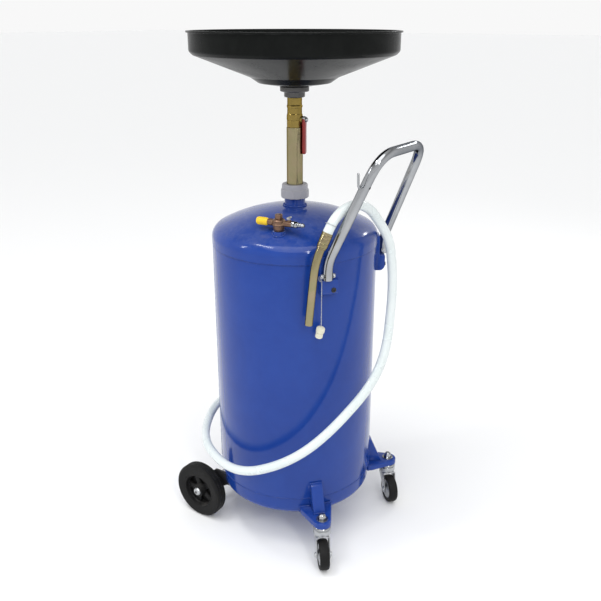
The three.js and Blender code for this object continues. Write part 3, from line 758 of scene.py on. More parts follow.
def endTree(tree, geometry, given, out):
    real = put(tree, "GeometryNodeRealizeInstances", None, {0: geometry})
    coated = put(tree, "GeometryNodeSetMaterial", None, {
        "Geometry": real.outputs[0], "Material": given.outputs["Finish"],
    })
    tree.links.new(coated.outputs[0], out.inputs[0])


def beadTree():
    # Beads along a line, each a little different, with a wire through them if it has a thickness.
    tree, given, out = newTree("beadsOnLine", [
        ("Spacing", "NodeSocketFloat", 0.002),
        ("Long", "NodeSocketFloat", 0.003),
        ("Wide", "NodeSocketFloat", 0.003),
        ("Wander", "NodeSocketFloat", 0.1),
        ("Wire", "NodeSocketFloat", 0.0),
        ("Detail", "NodeSocketInt", 2),
        ("Seed", "NodeSocketInt", 3),
        ("Finish", "NodeSocketMaterial", None),
    ])
    line = put(tree, "GeometryNodeMeshToCurve", None, {0: given.outputs["Geometry"]})
    even = put(tree, "GeometryNodeResampleCurve", {"mode": "LENGTH"}, {
        "Curve": line.outputs[0], "Length": given.outputs["Spacing"],
    })
    ball = put(tree, "GeometryNodeMeshIcoSphere", None, {
        "Radius": 1.0, "Subdivisions": given.outputs["Detail"],
    })
    along = put(tree, "GeometryNodeInputTangent")
    turn = put(tree, "FunctionNodeAlignRotationToVector", {"axis": "Z"}, {"Vector": along.outputs[0]})
    chance = put(tree, "FunctionNodeRandomValue", {"data_type": "FLOAT"}, {
        2: sums(tree, "SUBTRACT", 1.0, given.outputs["Wander"]),
        3: sums(tree, "ADD", 1.0, given.outputs["Wander"]),
        "Seed": given.outputs["Seed"],
    })
    wide = sums(tree, "MULTIPLY", given.outputs["Wide"], chance.outputs[1])
    size = put(tree, "ShaderNodeCombineXYZ", None, {0: wide, 1: wide, 2: given.outputs["Long"]})
    beads = put(tree, "GeometryNodeInstanceOnPoints", None, {
        "Points": even.outputs[0], "Instance": ball.outputs[0],
        "Rotation": turn.outputs[0], "Scale": size.outputs[0],
    })
    smooth = put(tree, "GeometryNodeSetShadeSmooth", None, {0: beads.outputs[0]})
    circle = put(tree, "GeometryNodeCurvePrimitiveCircle", None, {
        "Resolution": 8, "Radius": given.outputs["Wire"],
    })
    wire = put(tree, "GeometryNodeCurveToMesh", None, {
        "Curve": even.outputs[0], "Profile Curve": circle.outputs[0], "Fill Caps": True,
    })
    wanted = put(tree, "FunctionNodeCompare", {"data_type": "FLOAT", "operation": "GREATER_THAN"}, {
        0: given.outputs["Wire"], 1: 0.00001,
    })
    chosen = put(tree, "GeometryNodeSwitch", {"input_type": "GEOMETRY"}, {
        "Switch": wanted.outputs[0], "True": wire.outputs[0],
    })
    both = put(tree, "GeometryNodeJoinGeometry")
    tree.links.new(chosen.outputs[0], both.inputs[0])
    tree.links.new(smooth.outputs[0], both.inputs[0])
    endTree(tree, both.outputs[0], given, out)
    return tree


def roundTree():
    # Copies of one shape set evenly about its own Z axis.
    tree, given, out = newTree("setRound", [
        ("Count", "NodeSocketInt", 5),
        ("First Turn", "NodeSocketFloat", 0.0),
        ("Finish", "NodeSocketMaterial", None),
    ])
    spots = put(tree, "GeometryNodeMeshLine", None, {
        "Count": given.outputs["Count"], "Offset": (0, 0, 0),
    })
    index = put(tree, "GeometryNodeInputIndex")
    share = sums(tree, "DIVIDE", index.outputs[0], given.outputs["Count"])
    angle = sums(tree, "ADD", sums(tree, "MULTIPLY", share, 2 * math.pi), given.outputs["First Turn"])
    turn = put(tree, "ShaderNodeCombineXYZ", None, {2: angle})
    copies = put(tree, "GeometryNodeInstanceOnPoints", None, {
        "Points": spots.outputs[0], "Instance": given.outputs["Geometry"], "Rotation": turn.outputs[0],
    })
    endTree(tree, copies.outputs[0], given, out)
    return tree


def perforateTree():
    # Cuts a square field of round holes through a plate, out to a radius.
    tree, given, out = newTree("perforate", [
        ("Field", "NodeSocketFloat", 0.085),
        ("Pitch", "NodeSocketFloat", 0.014),
        ("Hole", "NodeSocketFloat", 0.004),
        ("Inner", "NodeSocketFloat", 0.014),
        ("Finish", "NodeSocketMaterial", None),
    ])
    span = sums(tree, "MULTIPLY", given.outputs["Field"], 2.0)
    lines = sums(tree, "ADD", sums(tree, "FLOOR", sums(tree, "DIVIDE", span, given.outputs["Pitch"])), 1.0)
    field = put(tree, "GeometryNodeMeshGrid", None, {
        "Size X": span, "Size Y": span, "Vertices X": lines, "Vertices Y": lines,
    })
    spot = put(tree, "GeometryNodeInputPosition")
    far = put(tree, "ShaderNodeVectorMath", {"operation": "LENGTH"}, {0: spot.outputs[0]})
    outside = put(tree, "FunctionNodeCompare", {"data_type": "FLOAT", "operation": "GREATER_THAN"}, {
        0: far.outputs["Value"], 1: given.outputs["Field"],
    })
    inside = put(tree, "FunctionNodeCompare", {"data_type": "FLOAT", "operation": "LESS_THAN"}, {
        0: far.outputs["Value"], 1: given.outputs["Inner"],
    })
    either = put(tree, "FunctionNodeBooleanMath", {"operation": "OR"}, {
        0: outside.outputs[0], 1: inside.outputs[0],
    })
    kept = put(tree, "GeometryNodeDeleteGeometry", None, {0: field.outputs[0], 1: either.outputs[0]})
    drill = put(tree, "GeometryNodeMeshCylinder", None, {
        "Vertices": 16, "Radius": given.outputs["Hole"], "Depth": 0.02,
    })
    drills = put(tree, "GeometryNodeInstanceOnPoints", None, {
        "Points": kept.outputs[0], "Instance": drill.outputs[0],
    })
    loose = put(tree, "GeometryNodeRealizeInstances", None, {0: drills.outputs[0]})
    cut = put(tree, "GeometryNodeMeshBoolean", {"operation": "DIFFERENCE"}, {
        "Mesh 1": given.outputs["Geometry"], "Mesh 2": loose.outputs[0],
    })
    endTree(tree, cut.outputs[0], given, out)
    return tree


beadsOnLine = beadTree()
setRound = roundTree()
perforate = perforateTree()


def evaluatedMesh(thing):
    bpy.context.view_layer.update()
    graph = bpy.context.evaluated_depsgraph_get()
    return bpy.data.meshes.new_from_object(thing.evaluated_get(graph), depsgraph=graph)


def grow(name, mesh, tree, values, slot):
    # Runs a tree on a mesh and keeps the result as a plain mesh.
    seed = addObject(name, mesh)
    modifier = seed.modifiers.new(name, "NODES")
    modifier.node_group = tree
    for item in tree.interface.items_tree:
        if item.item_type == "SOCKET" and item.in_out == "INPUT" and item.name in values:
            modifier[item.identifier] = values[item.name]
        elif item.item_type == "SOCKET" and item.in_out == "INPUT" and item.name == "Finish":
            modifier[item.identifier] = materials[slot]
    grown = evaluatedMesh(seed)
    seed.modifiers.clear()
    bpy.data.objects.remove(seed)
    return grown


def grownPiece(name, mesh, body="chassis", nodes=(), place=None, sharpness=32):
    if place is not None:
        mesh.transform(place)
    showSmooth(mesh, sharpness)
    mesh.name = name
    return settle(addObject(name, mesh), body, nodes)


def toMesh(shape, place=None):
    bmesh.ops.transform(shape, matrix=(place or Matrix.Identity(4)) @ scaleDown, verts=shape.verts)
    mesh = bpy.data.meshes.new("seed")
    shape.to_mesh(mesh)
    shape.free()
    return mesh


def asShape(mesh):
    shape = bmesh.new()
    shape.from_mesh(mesh)
    return shape


def weld(name, path, wide, slot="blue_paint", body="chassis", closed=False, seed=3):
    # A run of weld along points, with the ripples of the bead.
    mesh = bpy.data.meshes.new(name)
    links = [(i, i + 1) for i in range(len(path) - 1)] + ([(len(path) - 1, 0)] if closed else [])
    mesh.from_pydata([tuple(p) for p in path], links, [])
    values = {"Spacing": wide * 0.45 * mm, "Long": wide * 0.42 * mm, "Wide": wide * 0.5 * mm,
              "Wander": 0.12, "Seed": seed}
    return grownPiece(name, grow(name, mesh, beadsOnLine, values, slot), body)


def ringPath(centre, radius, height, steps=72, start=0.0, end=360.0):
    count = steps if end - start >= 360 else steps + 1
    return [fromAxis(centre[0] + radius * math.cos(math.radians(start + (end - start) * i / steps)),
                     centre[1] + radius * math.sin(math.radians(start + (end - start) * i / steps)),
                     height) for i in range(count)]


overAxis = Matrix.Translation((axisX, 0, 0))


def along(place, points):
    # Millimetre points of a place, as points in metres.
    return [place @ (Vector(p) * mm) for p in points]


# Discharge hose, nozzle and the plug on its chain.

hose = {
    "diameter": 22, "bore": 17, "wireFromEnd": 33, "spacing": 8, "easing": 6,
    "route": [
        (-232, 61, 250), (-246, 14, 250), (-243, -35, 249), (-227, -81, 247), (-205, -125, 242),
        (-177, -165, 236), (-141, -198, 233), (-98, -223, 232), (-53, -241, 232), (-5, -252, 237),
        (42, -252, 249), (86, -242, 268), (126, -224, 290), (161, -201, 316), (190, -176, 346),
        (215, -148, 379), (236, -120, 413), (255, -91, 448), (269, -63, 486), (275, -37, 527),
        (274, -15, 571), (269, 2, 617), (264, 17, 663), (258, 26, 711), (251, 29, 760),
        (248, 28, 780), (244, 23, 800), (239, 15, 818), (234, 4, 835), (230, -9, 851),
        (227, -22, 867), (223, -38, 880), (218, -56, 889), (213, -75, 893), (207, -95, 892),
        (202, -113, 885), (196, -129, 873), (191, -141, 856), (187, -149, 837),
    ],
}
nozzle = {
    "radius": 9, "bore": 7.6, "ferruleLength": 28, "ferruleRadius": 12.4,
    "bends": [(164, -171, 704), (157, -172, 631)], "lead": 34, "reach": [30, 24],
}
plugChain = {"x": 171, "y": -142, "top": 727, "bottom": 620, "bead": 1.35, "wire": 0.45, "pitch": 3.5}


def makeHose():
    line = relax(smoothPath(hose["route"], hose["spacing"]), hose["easing"])
    tube = sweep(line, hose["diameter"] / 2, 32, hose["bore"] / 2)
    made = piece("dischargeHose", [(tube, overAxis)], "clear_hose", nodes="discharge_hose")

    end, onward = line[-1], (line[-1] - line[-3]).normalized()
    r = nozzle["ferruleRadius"]
    length = nozzle["ferruleLength"]
    crimped = [(11.1, -5), (r - 0.4, -5), (r, -4.2), (r, -1.4), (r - 0.5, -0.8), (r - 0.5, 0.4), (r, 1),
               (r, 6), (r - 0.4, 6.6), (r - 0.4, 8.4), (r, 9), (r - 0.3, 17), (r - 0.7, 17.6),
               (r - 0.7, 19.4), (r - 0.3, 20), (r - 0.5, length - 2.5), (r - 1.2, length - 0.6),
               (9.4, length - 0.2), (nozzle["bore"], length - 0.2), (nozzle["bore"], 0.4), (11.1, 0.4)]
    place = overAxis @ facing(end * mm, onward)
    ferrule = piece("hoseFerrule", [(lathe(rounded(crimped, 0.4, True, 3), 48), place)],
                    "yellow_zinc", nodes="hose_ferrule")
    start = end + onward * (length + 0.3)
    lead = start + onward * nozzle["lead"]
    spoutLine = evenly(bentPath([start, lead, *nozzle["bends"]], nozzle["reach"], 16), 3.5)
    spout = sweep(spoutLine, nozzle["radius"], 40, nozzle["bore"])
    collar = lathe(rounded([(9.05, -1), (10.6, -1), (10.6, 3), (9.05, 4)], 0.5), 48)
    piece("drainNozzle", [(spout, overAxis), (collar, overAxis @ facing(start * mm, onward))],
          "yellow_zinc", nodes="drain_nozzle")

    back = round(hose["wireFromEnd"] / hose["spacing"])
    ringAt, ringWay = line[-back], (line[-back] - line[-back - 1]).normalized()
    loop = lathe(arcOf((11.6, 0), 0.75, 0, 330, 11), 48)
    tail = sweep([(11.8, 0.6, 0), (13.2, 2.4, 0.5), (13.6, 4.6, 1)], 0.7, 8, dome=True)
    tilted = facing(ringAt * mm, ringWay + Vector((0.05, 0.12, 0.0)))
    wire = piece("hoseWire", [(loop, overAxis @ tilted), (tail, overAxis @ tilted)], "bright_zinc")


def makePlug():
    c = plugChain
    count = 12
    spots = [fromAxis(c["x"], c["y"], c["top"] + (c["bottom"] - c["top"]) * i / count)
             for i in range(count + 1)]
    line = bpy.data.meshes.new("chainLine")
    line.from_pydata([tuple(p) for p in spots], [(i, i + 1) for i in range(count)], [])
    beads = grow("chainBeads", line, beadsOnLine, {
        "Spacing": c["pitch"] * mm, "Long": c["bead"] * mm, "Wide": c["bead"] * mm,
        "Wander": 0.02, "Wire": c["wire"] * mm, "Detail": 3, "Seed": 5,
    }, "bright_zinc")
    chain = grownPiece("plugChain", beads, nodes="plug_chain", sharpness=60)
    profile = [(0, -28.4), (7.2, -28.4, 1.2), (8.6, -26.6, 1.5), (8.6, -16.4, 1.2), (7.2, -15.2, 0.6),
               (7.2, -14.2, 0.6), (10, -13, 1.2), (10, -4.2, 1.4), (8.2, -2.2, 1.4),
               (3, -1.4, 0.6), (2.4, 0.2, 0.5), (0, 0.2)]
    tilt = Matrix.Rotation(math.radians(14), 4, "Y")
    place = Matrix.Translation(fromAxis(c["x"], c["y"], c["bottom"] - 1)) @ tilt
    plug = piece("nozzlePlug", [(lathe(rounded(profile, 0, False), 48), place)], "white_nylon",
                 nodes="nozzle_plug")


makeHose()
makePlug()
print("hose, nozzle and plug are made")

# Tank.

tank = {
    "radius": 200, "wall": 1.6, "skirt": 202, "headWall": 1.7, "crown": 400, "knuckle": 30,
    "low": 147, "high": 774, "skirtLow": 760, "crownTop": 849, "bottom": 98, "floorKnuckle": 20,
    "seamAzimuth": 215, "steps": 180,
}
crownCentre = tank["crownTop"] - tank["crown"]


def domeHeight(x, y):
    return crownCentre + math.sqrt(tank["crown"] ** 2 - x * x - y * y)


def headSide(inset, hole):
    crown = tank["crown"] - inset
    knuckleAt = tank["skirt"] - tank["knuckle"]
    edge = math.asin(knuckleAt / (tank["crown"] - tank["knuckle"]))
    tangent = crownCentre + (tank["crown"] - tank["knuckle"]) * math.cos(edge)
    edgeTurn = 90 - math.degrees(edge)
    holeTurn = math.degrees(math.acos(hole / crown))
    return ([(tank["skirt"] - inset, tank["skirtLow"])]
            + arcOf((knuckleAt, tangent), tank["knuckle"] - inset, 0, edgeTurn, 14)
            + arcOf((0, crownCentre), crown, edgeTurn, holeTurn, 26)[1:])


def makeTank():
    t = tank
    inner = t["radius"] - t["wall"]
    shell = rounded([(inner, t["low"]), (t["radius"], t["low"]), (t["radius"], t["high"]),
                     (inner, t["high"])], 0.5)
    piece("tankShell", [(lathe(shell, t["steps"]), overAxis)], "blue_paint", nodes="tank_shell")
    outside, inside = headSide(0, 25.3), headSide(t["headWall"], 25.3)
    lip = [(t["skirt"] - t["headWall"] + 0.3, t["skirtLow"]), (t["skirt"] - 0.5, t["skirtLow"]),
           (t["skirt"], t["skirtLow"] + 0.5)]
    head = lathe(lip + outside[1:] + inside[::-1][:-1], t["steps"])
    piece("topHead", [(head, overAxis)], "blue_paint", nodes="top_head")
    foot = inner - 0.3
    k = t["floorKnuckle"]

    def floorArc(inset):
        return arcOf((foot - k, t["bottom"] + k), k - inset, 270, 360, 10)

    bottom = ([(0, t["bottom"])] + floorArc(0) + [(foot, 166), (foot - t["wall"], 166)]
              + floorArc(t["wall"])[::-1] + [(0, t["bottom"] + t["wall"])])
    piece("bottomHead", [(lathe(bottom, t["steps"]), overAxis)], "blue_paint", nodes="bottom_head")
    seam = turned(t["seamAzimuth"])
    rise = [(t["radius"] + 0.1, 0, t["low"] + 4 + 6 * i) for i in range(102)]
    weld("backSeamWeld", along(seam, rise), 4.6)
    weld("footSeamWeld", ringPath((0, 0), t["radius"] - 0.7, t["low"] - 0.4, 240), 3.6, closed=True)
    weld("headSeamWeld", ringPath((0, 0), t["radius"] + 0.5, t["skirtLow"] - 0.2, 240), 2.6,
         closed=True, seed=8)


# Mast, clamp nut, drain valve and bowl.

clampNut = {"flats": 12, "flatRadius": 32.6}
valve = {"azimuth": 15, "ball": 1051}
bowl = {"steps": 200, "slope": 21, "wall": 1.6, "band": 236.4, "cone": 102.3, "coneLow": 20.6}


def makeMast():
    socket = rounded([(20.5, 792), (25, 792), (25, 867, 1), (24.2, 868, 0.5), (22.8, 868),
                      (22.8, 889, 0.6), (20.5, 889)], 0.3)
    piece("mastSocket", [(lathe(socket, 72), overAxis)], "blue_paint", nodes="mast_socket")
    around = [fromAxis(26.2 * math.cos(a), 26.2 * math.sin(a), domeHeight(26.2, 0) + 1.2)
              for a in [math.radians(5 * i) for i in range(72)]]
    weld("socketWeld", around, 6, closed=True)
    nut = [(23.3, 0), (32.2, 0, 1), (33.5, 2.2, 1.2), (33.5, 18.4, 1), (32.6, 19.6, 0.6),
           (31.4, 20.2, 0.4), (30.6, 21.4, 0.4), (31, 22.2, 0.4), (31, 30.2, 1), (29.4, 32.7, 1),
           (19.7, 32.7, 0.5), (19.7, 21, 0.3), (23.3, 21, 0.3)]
    flats = (clampNut["flats"], 1.0, 19.0, clampNut["flatRadius"])
    piece("clampNut", [(lathe(rounded(nut), 144, flats), atNode("clamp_nut"))], "cast_grey",
          "clamp", "clamp_nut", 20)
    tube = rounded([(17, 300), (19, 300), (19, 1033), (17, 1033)], 0.4)
    piece("mastTube", [(lathe(tube, 80), overAxis)], "yellow_zinc", "mast", "mast_tube")
    stop = rounded([(19.3, 0), (23.5, 0), (23.5, 12), (19.3, 12)], 0.8)
    piece("stopRing", [(lathe(stop, 64), atNode("stop_ring"))], "bright_zinc", "mast_guide",
          "stop_ring")
    sleeve = rounded([(19.3, 792), (20.2, 792), (20.2, 889), (19.3, 889)], 0.2)
    piece("guideSleeve", [(lathe(sleeve, 48), overAxis)], "white_nylon", nodes="guide_sleeve")


def makeValve():
    side = turned(valve["azimuth"])
    out = side @ facing((0, 0, valve["ball"] * mm), (1, 0, 0))
    body = rounded([(10, 1048), (17.4, 1048, 0.4), (18.4, 1051, 1.4), (18.6, 1056, 2), (18.2, 1062, 1),
                    (17.2, 1064.4, 0.6), (17.0, 1076.8, 0.6), (17.6, 1077.6, 0.4), (18.3, 1079.4, 0.6),
                    (18.3, 1081.6, 0.6), (17.6, 1083.2, 0.4), (17.0, 1084.2, 0.6), (17.0, 1099.6, 0.8),
                    (16.2, 1100.7, 0.5), (10, 1100.7)], 0.2)
    foot = polygon(36, 1033.3, 1049.4, 8, 0.9)
    bonnet = lathe(rounded([(5.3, 14), (9.2, 14), (9.2, 18.4, 0.6), (8.2, 19.8, 0.6),
                            (5.3, 19.8)], 0.2), 40)
    piece("valveBody", [(lathe(body, 96), overAxis), (foot, side), (bonnet, out)], "brass", "mast",
          "valve_body")
    stem = lathe(rounded([(0, 8), (4, 8), (4, 31, 0.8), (3.4, 31.8, 0.5), (0, 31.8)], 0.2, False), 32)
    nut = polygon(10, 27.8, 31, 6, 0.6)
    washer = lathe(rounded([(4.1, 27), (6.6, 27), (6.6, 27.7), (4.1, 27.7)], 0.2), 40)
    ball = lathe([(0, -14.6)] + arcOf((0, 0), 14.6, -80, 80, 16) + [(0, 14.6)], 40)
    centre = side @ Matrix.Translation((0, 0, valve["ball"] * mm))
    piece("valveStem", [(stem, out), (nut, out), (washer, out), (ball, centre)],
          "chrome", "valve", "valve_ball")
    # The lever is a steel strip with a dipped sleeve, hanging flat against the valve's side.
    strip = prism(rounded([(-6.4, -5), (6.4, -5), (6.4, 7.8), (-6.4, 7.8)], 5, True, 6), 21, 26.8, 0.6)
    grip = prism(rounded([(-8, -79.6, 8), (8, -79.6, 8), (8, -56, 20), (7.2, -34, 20), (7.8, -6, 5),
                          (6.6, 3.6, 4), (-6.6, 3.6, 4), (-7.8, -6, 5), (-7.2, -34, 20), (-8, -56, 20)],
                         3, True, 6), 20.3, 27.3, 2.6, 5)
    hanging = centre @ acrossX
    piece("leverStrip", [(strip, hanging)], "bright_zinc", "valve")
    piece("valveLever", [(grip, hanging)], "red_vinyl", "valve", "valve_lever", 40)


def makeBowl():
    adapter = [(12, 0), (23, 0, 0.6), (24, 1.4, 0.6), (24, 11, 0.8), (25.4, 12.2, 0.4), (32, 12.5, 0.6),
               (33.5, 14.2, 0.8), (33.5, 22.4, 0.8), (32.6, 23.7, 0.4), (12, 23.7)]
    piece("bowlAdapter", [(lathe(rounded(adapter), 80), atNode("bowl_adapter"))], "dark_steel",
          "mast", "bowl_adapter")
    low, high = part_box("bowl")
    rimHigh = (high.z - low.z) / mm
    rimLow = rimHigh - 4
    band, cone, coneLow = bowl["band"], bowl["cone"], bowl["coneLow"]
    coneHigh = coneLow + (band - 8 - cone) * math.tan(math.radians(bowl["slope"]))

    def side(inset):
        return [(12, inset), (33, inset, 6), (83 - inset / 2, 7.6 + inset, 10),
                (cone - inset / 2, coneLow + inset, 14), (band - 8, coneHigh + inset, 9),
                (band - inset, 77 + inset / 2, 9)]

    outline = rounded(side(0) + [(band, rimLow, 1.2), (240.2, rimLow, 1.2), (241, rimHigh - 2, 1.4),
                                 (240.2, rimHigh, 1.2), (band - 1.6, rimHigh, 1.6)]
                      + side(bowl["wall"])[::-1], 0.6, True, 6)
    piece("catchBowl", [(lathe(outline, bowl["steps"]), atNode("bowl"))], "black_gloss", "mast", "bowl")
    disc = lathe(rounded([(0, 0), (95.5, 0, 0.6), (95.5, 2, 0.6), (0, 2)], 0, False), 96)
    plate = grow("strainerPlate", toMesh(disc), perforate, {
        "Field": 0.088, "Pitch": 0.0125, "Hole": 0.0038, "Inner": 0.013}, "bright_zinc")
    grownPiece("bowlStrainer", plate, "strainer", "bowl_strainer",
               atNode("bowl_strainer"), 25)
    knob = rounded([(0, 1.9), (9, 1.9, 0.5), (7, 4, 1), (6, 8, 1), (8.6, 10, 1), (8.6, 13, 1.2),
                    (6.4, 14, 1), (0, 14)], 0, False)
    piece("strainerKnob", [(lathe(knob, 40), atNode("bowl_strainer"))], "bright_zinc", "strainer")


makeTank()
makeMast()
makeValve()
makeBowl()
print("tank, mast, valve and bowl are made")

# Push handle.

handle = {
    "radius": 11, "bore": 9.5, "footX": 177, "footY": 127, "footZ": 728, "kneeZ": 768,
    "topX": 283, "topY": 100, "topZ": 1009, "corner": 56, "knee": 22, "hookZ": 945,
}


def makeHandle():
    h = handle
    corners = [(h["footX"], -h["footY"], h["footZ"]), (h["footX"], -h["footY"], h["kneeZ"]),
               (h["topX"], -h["topY"], h["topZ"]), (h["topX"], h["topY"], h["topZ"]),
               (h["footX"], h["footY"], h["kneeZ"]), (h["footX"], h["footY"], h["footZ"])]
    line = evenly(bentPath(corners, [h["knee"], h["corner"], h["corner"], h["knee"]], 24), 4)
    tube = sweep(line, h["radius"], 40, h["bore"])
    piece("handleBar", [(tube, overAxis)], "chrome", nodes="handle_bar")
    azimuth = math.degrees(math.atan2(h["footY"], h["footX"]))
    reach = math.hypot(h["footX"], h["footY"])
    boltZ = h["footZ"] + 9
    for word, side in (("Right", -1), ("Left", 1)):
        node = word.lower()
        place = turned(side * azimuth)
        outline = rounded([(192, 689), (212, 689, 9), (220, 697, 9), (220, 727.7, 2), (206.5, 727.7, 1.5),
                           (206.5, 776, 1.5), (192, 776, 1)], 0, True, 5)
        block = laid(prism(outline, -20 + side * 6, 20 + side * 6, 1.8, 4), sidewards)
        piece("handleBracket" + word, [(block, place)], "blue_paint", nodes="handle_bracket_" + node)
        across = place @ Matrix.Translation((reach * mm, 0, boltZ * mm)) @ sidewards
        shank = rounded([(0, -15), (3, -15), (3, 16.4, 0.6), (2.4, 17, 0.4), (0, 17)], 0)
        bolt = [(lathe(shank, 24), across),
                (polygon(9.6, -17, -12.6, 6, 0.5), across),
                (lathe(rounded([(3.1, -12.5), (6, -12.5), (6, -11.4), (3.1, -11.4)], 0.3), 32), across),
                (lathe(rounded([(3.1, 11.4), (6, 11.4), (6, 12.5), (3.1, 12.5)], 0.3), 32), across),
                (polygon(9.6, 12.6, 16.6, 6, 0.5), across)]
        piece("handleBolt" + word, bolt, "bright_zinc", nodes="handle_bolt_" + node)
        tankBolt = facing((place @ Vector((220 * mm, -side * 14 * mm, 703 * mm))),
                          place.to_3x3() @ Vector((1, 0, 0)))
        head = lathe(rounded([(0, -2), (6, -2), (6, 0.8, 0.4), (4.6, 3, 1.2), (2.4, 3.4, 0.3), (2.2, 1.4),
                              (0, 1.4)], 0), 32)
        piece("bracketBolt" + word, [(head, tankBolt)], "black_paint")
    hang = turned(-azimuth) @ Matrix.Translation((reach * mm, -18.4 * mm, (boltZ - 5) * mm)) @ sidewards
    loop = lathe(arcOf((6, 0), 0.9, 0, 330, 11), 40)
    piece("chainRing", [(loop, hang)], "bright_zinc")

    rise = (h["hookZ"] - h["kneeZ"]) / (h["topZ"] - h["kneeZ"])
    x = h["footX"] + (h["topX"] - h["footX"]) * rise
    legY = -(h["footY"] + (h["topY"] - h["footY"]) * rise)
    y = legY - h["radius"] - 1.2
    rod = evenly(bentPath([(x, y + 3, 945.2), (x, y - 18, 943), (x, y - 20, 974)], [10], 14), 1.2)
    piece("hoseHook", [(sweep(rod, 2.5, 20, dome=True), overAxis)], "chrome", nodes="hose_hook")
    # A thin black disc, almost flush with the handle tube, is painted shade: it stands in for the dark
    # opening of the hole that the hose hook goes into.
    holeShadeWay = Vector((0.9, 0.05, -0.42)).normalized()
    holeShadeDisc = lathe(rounded([(0, -1), (3.1, -1), (3.1, 0.35, 0.2), (0, 0.35)], 0, False), 28)
    spot = Vector((x, legY, 944.5)) + holeShadeWay * (h["radius"] - 0.1)
    piece("hookHoleShade", [(holeShadeDisc, overAxis @ facing(spot * mm, holeShadeWay))], "black_paint")


makeHandle()
print("handle is made")

# Swivel casters.

caster = {
    "reach": 258, "azimuth": 40.5, "plateTop": 123, "wheel": 37.5, "trail": 25, "legAt": 16.25,
    "halfLeg": 1.25,
    "trails": {"right": -49, "left": -41},
}


def shellOf(shape, thickness):
    # Gives an open skin its wall, inwards.
    skin = addObject("skin", toMesh(shape, scaleUp))
    wall = skin.modifiers.new("wall", "SOLIDIFY")
    wall.thickness = thickness
    wall.offset = -1
    wall.use_even_offset = True
    mesh = evaluatedMesh(skin)
    bpy.data.objects.remove(skin)
    result = asShape(mesh)
    bpy.data.meshes.remove(mesh)
    return result


def openCap(outline, low, high, bevel):
    # A pressing: a flat top with sides turned down and a rounded edge.
    shape = prism(outline, low, high)
    floor = [f for f in shape.faces if f.normal.z < -0.9]
    bmesh.ops.delete(shape, geom=floor, context="FACES_ONLY")
    rim = [e for e in shape.edges if all(v.co.z > high - 0.01 for v in e.verts)]
    bmesh.ops.bevel(shape, geom=rim, offset=bevel, segments=5, profile=0.5, affect="EDGES")
    return shape


